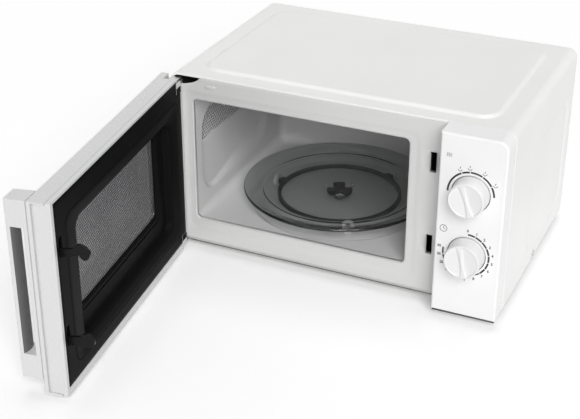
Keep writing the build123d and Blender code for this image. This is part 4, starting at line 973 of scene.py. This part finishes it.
def make_screen():
    """Each cell is six quads between a six-sided hole and the cell's edge, with a flat border round all."""
    x0 = screen_low[0] + screen_border
    x1 = screen_high[0] - screen_border
    z0 = screen_low[2] + screen_border
    z1 = screen_high[2] - screen_border
    columns = int((x1 - x0) / hole_pitch)
    rows = int((z1 - z0) / hole_rise)
    step_x = (x1 - x0) / (columns + 0.5)
    step_z = (z1 - z0) / rows
    hole = arc((0.0, 0.0), hole_radius, np.pi / 6, 11 * np.pi / 6, 6)
    edge = np.array([(0.5, 0.5), (0.0, 0.5), (-0.5, 0.5), (-0.5, -0.5), (0.0, -0.5), (0.5, -0.5)])
    cell = np.stack([hole, edge * (step_x, step_z)])
    row, column = np.meshgrid(np.arange(rows), np.arange(columns), indexing="ij")
    middle_x = x0 + step_x * (column + 0.5 + 0.5 * (row % 2))
    middle_z = z0 + step_z * (row + 0.5)
    flat = cell[None, None] + np.stack([middle_x, middle_z], axis=-1)[:, :, None, None, :]
    points = facing_front(flat.reshape(-1, 2), screen_high[1])
    one = grid_faces(2, 6, True)
    faces = (one[None] + 12 * np.arange(rows * columns)[:, None, None]).reshape(-1, 4)
    nudge = step_x * 0.25
    border = np.array([
        (x0 - screen_border, z0 - screen_border), (x1 + screen_border, z0 - screen_border),
        (x1 + screen_border, z1 + screen_border), (x0 - screen_border, z1 + screen_border),
        (x0 + nudge, z0), (x1 - nudge, z0), (x1 - nudge, z1), (x0 + nudge, z1)])
    border = facing_front(border, screen_high[1])
    patches = [(in_door(points), faces[:, ::-1]), (in_door(border), grid_faces(2, 4, True)[:, ::-1])]
    add_piece("screen_mesh", patches, "door", "screen_black", ["perforated_screen"])


make_screen()

# Turned shapes, for the plate, the wheels, the coupler and the knobs


def lathe(profile, centre, steps=96, axis="z"):
    """Profile of radius and height turned about an upright axis, or one that points out of the front."""
    turn = np.linspace(0, 2 * np.pi, steps, endpoint=False)
    radius = profile[:, 0][:, None]
    height = profile[:, 1][:, None] + 0.0 * turn[None, :]
    across = radius * np.cos(turn)[None, :]
    along = radius * np.sin(turn)[None, :]
    if axis == "z":
        points = np.stack([across, along, height], axis=-1)
    else:
        points = np.stack([across, -height, along], axis=-1)
    return points + np.asarray(centre), grid_faces(len(profile), steps, True)


def square_section(inner, outer, low, high):
    """Closed section of a flat ring between two radii and two heights."""
    return np.array([(inner, low), (outer, low), (outer, high), (inner, high), (inner, low)])


def spoke(index, start):
    """One of three even directions in plan from a start in degrees, and the direction to its left."""
    turn = math.radians(start + 120.0 * index)
    along = np.array([math.cos(turn), math.sin(turn), 0.0])
    return along, np.array([-along[1], along[0], 0.0])


# Glass plate: a turned dish with a soft rim and three driving studs below

plate_low, plate_high = corners("glass_plate")
plate_radius = (plate_high[0] - plate_low[0]) / 2
plate_flat = 96.0
plate_lag = 2.0
plate_wall = 4.4
plate_bead = 2.0
# Where the step and the slope start, how far they run and how much they climb
plate_climbs = ((98.0, 3.0, 0.8), (103.0, 20.0, 3.8))
stud_height = 2.6
stud_ring = 20.0
stud_radius = 2.4
stud_edge = 0.5
coupler_turn = -6.0


def plate_rise(radius):
    """Climb of the plate from its flat: a low step, then a soft slope to the rim."""
    return sum(climb * smooth_step((radius - start) / run) for start, run, climb in plate_climbs)


def make_glass_plate():
    """Underside out to the rim, a bead round it, and back over the top, with studs between the lobes."""
    edge = plate_radius - plate_bead
    out = np.concatenate([[0.0], np.linspace(20, plate_flat, 5), np.linspace(plate_flat, edge, 44)[1:]])
    under = np.stack([out, plate_rise(out - plate_lag)], axis=1)
    over = np.stack([out, plate_rise(out) + plate_wall], axis=1)
    turn = np.linspace(-np.pi / 2, np.pi / 2, 13)[1:-1]
    half = plate_wall / 2
    level = plate_rise(plate_radius) + half
    bead = np.stack([edge + plate_bead * np.cos(turn), level + half * np.sin(turn)], axis=1)
    centre = (plate_low + plate_high) / 2
    centre[2] = plate_low[2] + stud_height
    patches = [lathe(np.concatenate([under, bead, over[::-1]]), centre, 160)]
    stud = np.array([
        (0.0, -stud_height), (stud_radius - stud_edge, -stud_height),
        (stud_radius, stud_edge - stud_height), (stud_radius, -hair), (0.0, -hair)])
    for index in range(3):
        patches.append(lathe(stud, centre + stud_ring * spoke(index, coupler_turn + 60.0)[0], 24))
    add_piece("plate_dish", patches, "glass_plate", "plate_glass", ["glass_plate"], outward=True)


make_glass_plate()

# Rollers: pale wheels with a dished face, on the ring's dark axles

wheel_radius = 8.0
wheel_half = 2.75
wheel_bore = 2.35
wheel_place = np.array(joint("roller_1_spin")["pos_m"]) / METRE
wheel_track = math.hypot(wheel_place[0] - turntable[0], wheel_place[1] - turntable[1])
wheel_level = wheel_place[2]
wheel_start = 59.0


def make_wheel(index):
    """Tread with round edges and a sunk web on both faces, turned about one of the ring's axles."""
    face = np.array([
        (wheel_bore, wheel_half), (3.5, wheel_half), (3.9, wheel_half - 0.6), (5.9, wheel_half - 0.6),
        (6.3, wheel_half), (7.1, wheel_half), (7.7, wheel_half - 0.3), (wheel_radius, wheel_half - 0.9)])
    profile = np.concatenate([face, face[::-1] * (1.0, -1.0), face[:1]])
    points, faces = lathe(profile, (0.0, 0.0, 0.0), 48)
    along, beside = spoke(index, wheel_start)
    centre = np.array([turntable[0], turntable[1], wheel_level]) + wheel_track * along
    patch = (points @ np.stack([beside, (0.0, 0.0, 1.0), along]) + centre, faces)
    name = "roller_%d" % (index + 1)
    add_piece(name + "_wheel", [patch], name, "knob_white", [name], wheel_plastic, outward=True)


for index in range(3):
    make_wheel(index)

# Coupler: a hub under three flared lobes, with a pale ring as painted highlight at the hub's base, and the ring's
# blocks that carry the axles

coupler_low, coupler_high = corners("turntable_coupler")
hub_radius = 6.5
lobe_reach = 10.6
lobe_half_angle = 36.0
lobe_shoulder = 8.0
lobe_height = 6.0
slab_edge = 0.5
highlight_ring_inner = 6.6
highlight_ring_outer = 8.2
highlight_ring_drop = 7.0
highlight_ring_height = 1.6
block_inner = 78.2
block_outer = 88.0
block_half = 6.5
block_corner = 2.5
block_rise = 2.6


def slab(loop, low, high):
    """Flat closed loop raised between two levels, with a small chamfer along both rims."""
    middle = loop.mean(axis=0)
    reach = np.linalg.norm(loop - middle, axis=1)
    inset = middle + (loop - middle) * (1.0 - slab_edge / reach)[:, None]
    centre = np.repeat(middle[None, :], len(loop), axis=0)
    rows = [raised(centre, low), raised(inset, low), raised(loop, low + slab_edge),
            raised(loop, high - slab_edge), raised(inset, high), raised(centre, high)]
    return np.stack(rows), grid_faces(len(rows), len(loop), True)


def turned_loop(radius, turn):
    """Loop round the turntable's axis whose radius is given once or at each angle."""
    return turntable + np.stack([radius * np.cos(turn), radius * np.sin(turn)], axis=1)


def make_coupler():
    """The loop's radius steps from the hub out to the lobes, every 120 degrees, over a short shoulder."""
    turn = np.linspace(0, 2 * np.pi, 180, endpoint=False)
    from_lobe = np.abs((np.degrees(turn) - coupler_turn + 60.0) % 120.0 - 60.0)
    lobes = hub_radius + lobe_reach * smooth_step((lobe_half_angle - from_lobe) / lobe_shoulder)
    underside = coupler_high[2] - lobe_height
    patches = [slab(turned_loop(hub_radius, turn), coupler_low[2], underside - hair),
               slab(turned_loop(lobes, turn), underside, coupler_high[2])]
    slot = slot_of_node["turntable_coupler"]
    add_piece("coupler_lobes", patches, "coupler", slot, ["turntable_coupler"], outward=True)
    # The pale ring below the lobes is partly painted highlight: it stands in for the light circle at the dark
    # hub's base
    top = coupler_high[2] - highlight_ring_drop
    section = square_section(highlight_ring_inner, highlight_ring_outer, top - highlight_ring_height, top)
    collar = lathe(section, (turntable[0], turntable[1], 0.0), 48)
    add_piece("coupler_highlight_ring", [collar], "coupler", "knob_white", finish=wheel_plastic, outward=True)


def make_ring_blocks():
    """A round-cornered block on the ring behind each wheel, turned to that wheel's axle."""
    outline = rounded_loop(block_inner, block_outer, -block_half, block_half, block_corner)
    patches = []
    for index in range(3):
        loop = turntable + outline @ np.stack(spoke(index, wheel_start))[:, :2]
        patches.append(slab(loop, wheel_level - block_rise, wheel_level + block_rise))
    add_piece("ring_blocks", patches, "roller_ring", slot_of_node["roller_ring"], outward=True)


make_coupler()
make_ring_blocks()

# Knobs: a turned skirt and drum, its face hollowed on both sides of a ridge

panel_front = corners("control_panel")[0][1]
knob_face = 21.2
knob_ridge = 1.2
knob_ridge_flare = 2.8
knob_hollow = 2.8
knob_hollow_radius = 19.6
knob_hollow_edge = 1.2
well_radius = 23.25
well_depth = 1.8
shadow_ring_play = 0.15
shadow_ring_wall = 0.3
power_lean = -19.0
timer_lean = -11.0


def knob_middle(node):
    """Middle of a knob, across and up."""
    low, high = corners(node)
    return (low + high)[[0, 2]] / 2


def make_knob(name, node, lean):
    """Drum profile, with a face sunk beside the ridge by a depth that falls off towards its edge."""
    low, high = corners(node)
    outer = (high[0] - low[0]) / 2
    height = high[1] - low[1]
    side = np.array([
        (outer - 0.4, 0.0), (outer, 0.4), (outer, 2.9), (outer - 0.3, 3.3), (knob_face + 0.5, 3.7),
        (knob_face + 0.4, 4.6), (knob_face + 0.1, height - 2.0), (knob_face - 0.15, height - 0.9),
        (knob_face - 0.6, height - 0.25), (knob_face - 1.2, height)])
    inward = np.concatenate([np.linspace(knob_face - 1.4, 0.5, 54), [0.0]])
    profile = np.concatenate([side, np.stack([inward, np.full(len(inward), height)], axis=1)])
    points, faces = lathe(profile, (0.0, 0.0, 0.0), 168, "y")
    turn = math.radians(lean)
    beside = np.abs(points[..., 0] * math.cos(turn) - points[..., 2] * math.sin(turn))
    along = points[..., 0] * math.sin(turn) + points[..., 2] * math.cos(turn)
    radius = np.hypot(points[..., 0], points[..., 2])
    ridge = knob_ridge + knob_ridge_flare * (along / knob_face) ** 2
    fall = 1.0 - (beside - ridge) / (knob_face - ridge)
    rim = smooth_step((knob_hollow_radius - radius) / knob_hollow_edge)
    edge = rim * smooth_step((beside - ridge + 0.5) / knob_hollow_edge)
    on_face = points[..., 1] < 0.1 - height
    points[..., 1] = points[..., 1] + knob_hollow * fall * edge * on_face
    patch = (points + facing_front(knob_middle(node), high[1]), faces)
    add_piece(name, [patch], node, "knob_white", [node], outward=True)


def make_washer(name, node):
    """Dark flat ring on the floor of a knob's well, in the gap about the knob: painted shadow in that gap."""
    low, high = corners(node)
    inner = (high[0] - low[0]) / 2 + shadow_ring_play
    section = square_section(inner, well_radius, 0.0, shadow_ring_wall)
    centre = facing_front(knob_middle(node), panel_front + well_depth - hair)
    add_piece(name, [lathe(section, centre, 96, "y")], "oven", "latch_black", outward=True)


make_knob("power_dial", "power_knob", power_lean)
make_knob("timer_dial", "timer_knob", timer_lean)
# Black rings in the knobs' wells are painted shadow in the gap round each knob
make_washer("power_well_shadow", "power_knob")
make_washer("timer_well_shadow", "timer_knob")

# Printing on the control panel: scales, ticks, numbers and two small signs

print_y = panel_front - 0.08
print_wall = 0.07
power_stops = (-92.0, -26.0, -5.0, 27.0, 59.0, 88.0)
power_gap = 1.2
power_circle = 27.2
bowl_circle = 32.4
bowl_radius = 2.3
timer_step = 20.0
timer_gap = 1.0
timer_circle = 26.8
timer_runs = 8
timer_last_run = 15.0
short_circle = 28.2
short_runs = ((-81.0, -98.5), (-101.0, -112.0))
tick_angles = (180.0, -155.0, -137.0)
tick_inner = 32.6
tick_outer = 34.4
scale_width = (2.2, 2.2)
timer_last_width = (2.0, 0.9)
short_width = (2.0, 1.8)
fine_line = 0.6
number_circle = 31.4
long_number_circle = 33.4
long_numbers = ((25, -119.0), (30, -100.0), (35, -81.0))
number_size = 4.6
number_weight = 0.03
clock_radius = 4.2
clock_hands = ((0.0, 2.6), (1.7, -0.8))
clock_sign = np.array([150.4, 123.0])
heat_sign = np.array([151.8, 217.0])
ink = coating("panel_ink", 0.03, (0.5, 0.6), 900.0, 0.00005, 0.1, shift=0.15)
power_middle = knob_middle("power_knob")
timer_middle = knob_middle("timer_knob")


def printed_arc(middle, radius, start, end, width):
    """Flat strip along a circle, between two angles clockwise from the top, as wide as its ends say."""
    turn = np.radians(np.linspace(start, end, max(3, int(abs(end - start) / 2) + 2)))
    half = np.linspace(width[0], width[1], len(turn)) / 2
    across = np.stack([radius - half, radius + half])
    flat = middle + np.stack([across * np.sin(turn), across * np.cos(turn)], axis=-1)
    return facing_front(flat, print_y), grid_faces(2, len(turn))


def printed_line(start, end, width):
    """Flat strip between two places on the panel."""
    start = np.asarray(start, dtype=float)
    end = np.asarray(end, dtype=float)
    along = (end - start) / np.linalg.norm(end - start)
    side = np.array([-along[1], along[0]]) * width / 2
    flat = np.array([[start - side, end - side], [start + side, end + side]])
    return facing_front(flat, print_y), grid_faces(2, 2)


def on_circle(middle, radius, angle):
    """Place on a circle at an angle clockwise from the top."""
    turn = math.radians(angle)
    return np.array([middle[0] + radius * math.sin(turn), middle[1] + radius * math.cos(turn)])


def make_scales():
    """Power arc in five runs, timer arc in runs of one step, short left arc, ticks and the two signs."""
    patches = []
    for start, end in zip(power_stops[:-1], power_stops[1:]):
        patches.append(printed_arc(
            power_middle, power_circle, start + power_gap, end - power_gap, scale_width))
    for angle in power_stops[1:-1]:
        bowl = on_circle(power_middle, bowl_circle, angle)
        patches.append(printed_arc(bowl, bowl_radius, 95.0, 265.0, (fine_line, fine_line)))
        patches.append(printed_line(bowl + (-0.3, 0.4), bowl + (0.3, 3.0), 0.7))
    runs = [(timer_step - timer_gap, scale_width)] * (timer_runs - 1) + [(timer_last_run, timer_last_width)]
    for index, (length, width) in enumerate(runs):
        start = timer_step * index
        patches.append(printed_arc(timer_middle, timer_circle, start + timer_gap, start + length, width))
    for start, end in short_runs:
        patches.append(printed_arc(timer_middle, short_circle, start, end, short_width))
    for angle in tick_angles:
        patches.append(printed_line(
            on_circle(timer_middle, tick_inner, angle), on_circle(timer_middle, tick_outer, angle), 1.0))
    patches.append(printed_arc(clock_sign, clock_radius, 0.0, 360.0, (fine_line, fine_line)))
    for hand in clock_hands:
        patches.append(printed_line(clock_sign, clock_sign + hand, fine_line))
    along = np.linspace(-2.4, 2.4, 17)
    for lift in (-2.2, 0.0, 2.2):
        wave = lift + 0.7 * np.sin(along * 2.0)
        across = np.stack([wave - fine_line / 2, wave + fine_line / 2])
        flat = heat_sign + np.stack([across, along + 0.0 * across], axis=-1)
        patches.append((facing_front(flat, print_y), grid_faces(2, len(along))[:, ::-1]))
    piece = add_piece("panel_scales", patches, "oven", "grip_grey", finish=ink)
    thicken(piece, print_wall, 0.0)


def make_number(word, place, patches):
    """Mesh of a plain number, centred on a place on the panel, put with the other patches."""
    curve = bpy.data.curves.new("number", "FONT")
    curve.body = word
    curve.size = number_size
    curve.offset = number_weight * number_size
    curve.align_x = "CENTER"
    curve.align_y = "CENTER"
    curve.resolution_u = 3
    holder = new_object("number", curve)
    mesh = bpy.data.meshes.new_from_object(holder)
    mesh.calc_loop_triangles()
    flat = np.zeros(len(mesh.vertices) * 3)
    mesh.vertices.foreach_get("co", flat)
    points = facing_front(place + flat.reshape(-1, 3)[:, :2], print_y)
    triangles = np.zeros(len(mesh.loop_triangles) * 3, dtype=np.int32)
    mesh.loop_triangles.foreach_get("vertices", triangles)
    patches.append((points, triangles.reshape(-1, 3)))
    bpy.data.objects.remove(holder)
    bpy.data.meshes.remove(mesh)
    bpy.data.curves.remove(curve)


def make_numbers():
    """Minutes round the timer: nought to eight by the arc, then the longer times."""
    patches = []
    for number in range(9):
        make_number(str(number), on_circle(timer_middle, number_circle, timer_step * number), patches)
    for number, angle in long_numbers:
        make_number(str(number), on_circle(timer_middle, long_number_circle, angle), patches)
    piece = add_piece("panel_numbers", patches, "oven", "grip_grey", finish=ink)
    thicken(piece, print_wall, 0.0)


make_scales()
make_numbers()

# Floor, light and camera

floor_span = 6.0
floor_glow = 0.14
ambient_level = 0.25
key_strength = 2.26
key_from = (0.42, -0.70, 0.57)
overhead_strength = 0.66
overhead_from = (0.0, 0.25, 0.97)
lamp_spread = 35.0
camera_azimuth = math.radians(24.25)
camera_elevation = math.radians(28.11)
camera_roll = math.radians(0.10)
camera_distance = 1.615
camera_target = Vector((-0.05762, -0.142, 0.08574))
camera_lens = 80.69
camera_sensor = 36.0


def make_floor():
    """Level sheet far larger than the view, on the plane that the feet stand on."""
    corner_signs = np.array([(-1.0, -1.0), (1.0, -1.0), (1.0, 1.0), (-1.0, 1.0)])
    mesh = bpy.data.meshes.new("floor")
    mesh.from_pydata(raised(corner_signs * floor_span, 0.0).tolist(), [], [(0, 1, 2, 3)])
    floor = new_object("floor", mesh)
    finish, tree, shader = new_finish("floor_paper")
    fibres = noise(tree, 260.0, 2.0)
    blend_colours(tree, fibres, (0.97, 0.97, 0.97), (0.99, 0.99, 0.99), shader.inputs["Base Color"])
    set_sockets(shader, Roughness=0.9, Specular_IOR_Level=0.1)
    glow = new_node(tree, "Emission")
    part = new_node(tree, "Math")
    part.operation = "MULTIPLY"
    part.inputs[1].default_value = floor_glow
    tree.links.new(seen_directly(tree), part.inputs[0])
    tree.links.new(part.outputs["Value"], glow.inputs["Strength"])
    total = new_node(tree, "AddShader")
    tree.links.new(shader.outputs["BSDF"], total.inputs[0])
    tree.links.new(glow.outputs["Emission"], total.inputs[1])
    tree.links.new(total.outputs["Shader"], tree.nodes["Material Output"].inputs["Surface"])
    mesh.materials.append(finish)


def seen_directly(tree):
    """One for rays from the camera, and for those that gloss and glass send on, else nought."""
    path = new_node(tree, "LightPath")
    total = path.outputs["Is Camera Ray"]
    for name in ("Is Glossy Ray", "Is Transmission Ray"):
        largest = new_node(tree, "Math")
        largest.operation = "MAXIMUM"
        tree.links.new(total, largest.inputs[0])
        tree.links.new(path.outputs[name], largest.inputs[1])
        total = largest.outputs["Value"]
    return total


def make_world():
    """White surround that shows at full strength and lights the oven at the ambient level."""
    white = (1.0, 1.0, 1.0, 1.0)
    world = bpy.data.worlds.new("studio")
    bpy.context.scene.world = world
    world.use_nodes = True
    tree = world.node_tree
    ambient = tree.nodes["Background"]
    set_sockets(ambient, Color=white, Strength=ambient_level)
    backdrop = new_node(tree, "Background", Color=white, Strength=1.0)
    choice = new_node(tree, "MixShader")
    tree.links.new(seen_directly(tree), choice.inputs["Fac"])
    tree.links.new(ambient.outputs["Background"], choice.inputs[1])
    tree.links.new(backdrop.outputs["Background"], choice.inputs[2])
    tree.links.new(choice.outputs["Shader"], tree.nodes["World Output"].inputs["Surface"])


def make_lamp(name, direction, strength):
    """Broad soft light from a direction, even over the whole floor."""
    light = bpy.data.lights.new(name, "SUN")
    light.energy = strength
    light.angle = math.radians(lamp_spread)
    lamp = new_object(name, light)
    lamp.rotation_euler = (-Vector(direction)).to_track_quat("-Z", "Y").to_euler()


def make_camera():
    """Camera at the photograph's angle: round to the right, above the horizon, with its slight roll."""
    level = math.cos(camera_elevation)
    back = Vector((
        math.sin(camera_azimuth) * level, -math.cos(camera_azimuth) * level, math.sin(camera_elevation)))
    lens = bpy.data.cameras.new("camera")
    lens.lens = camera_lens
    lens.sensor_width = camera_sensor
    camera = new_object("camera", lens)
    camera.location = camera_target + back * camera_distance
    turned = (-back).to_track_quat("-Z", "Y").to_matrix() @ Matrix.Rotation(camera_roll, 3, "Z")
    camera.rotation_euler = turned.to_euler()
    bpy.context.scene.camera = camera


make_floor()
make_world()
make_lamp("key", key_from, key_strength)
make_lamp("overhead", overhead_from, overhead_strength)
make_camera()
bpy.context.scene.view_settings.view_transform = "Standard"
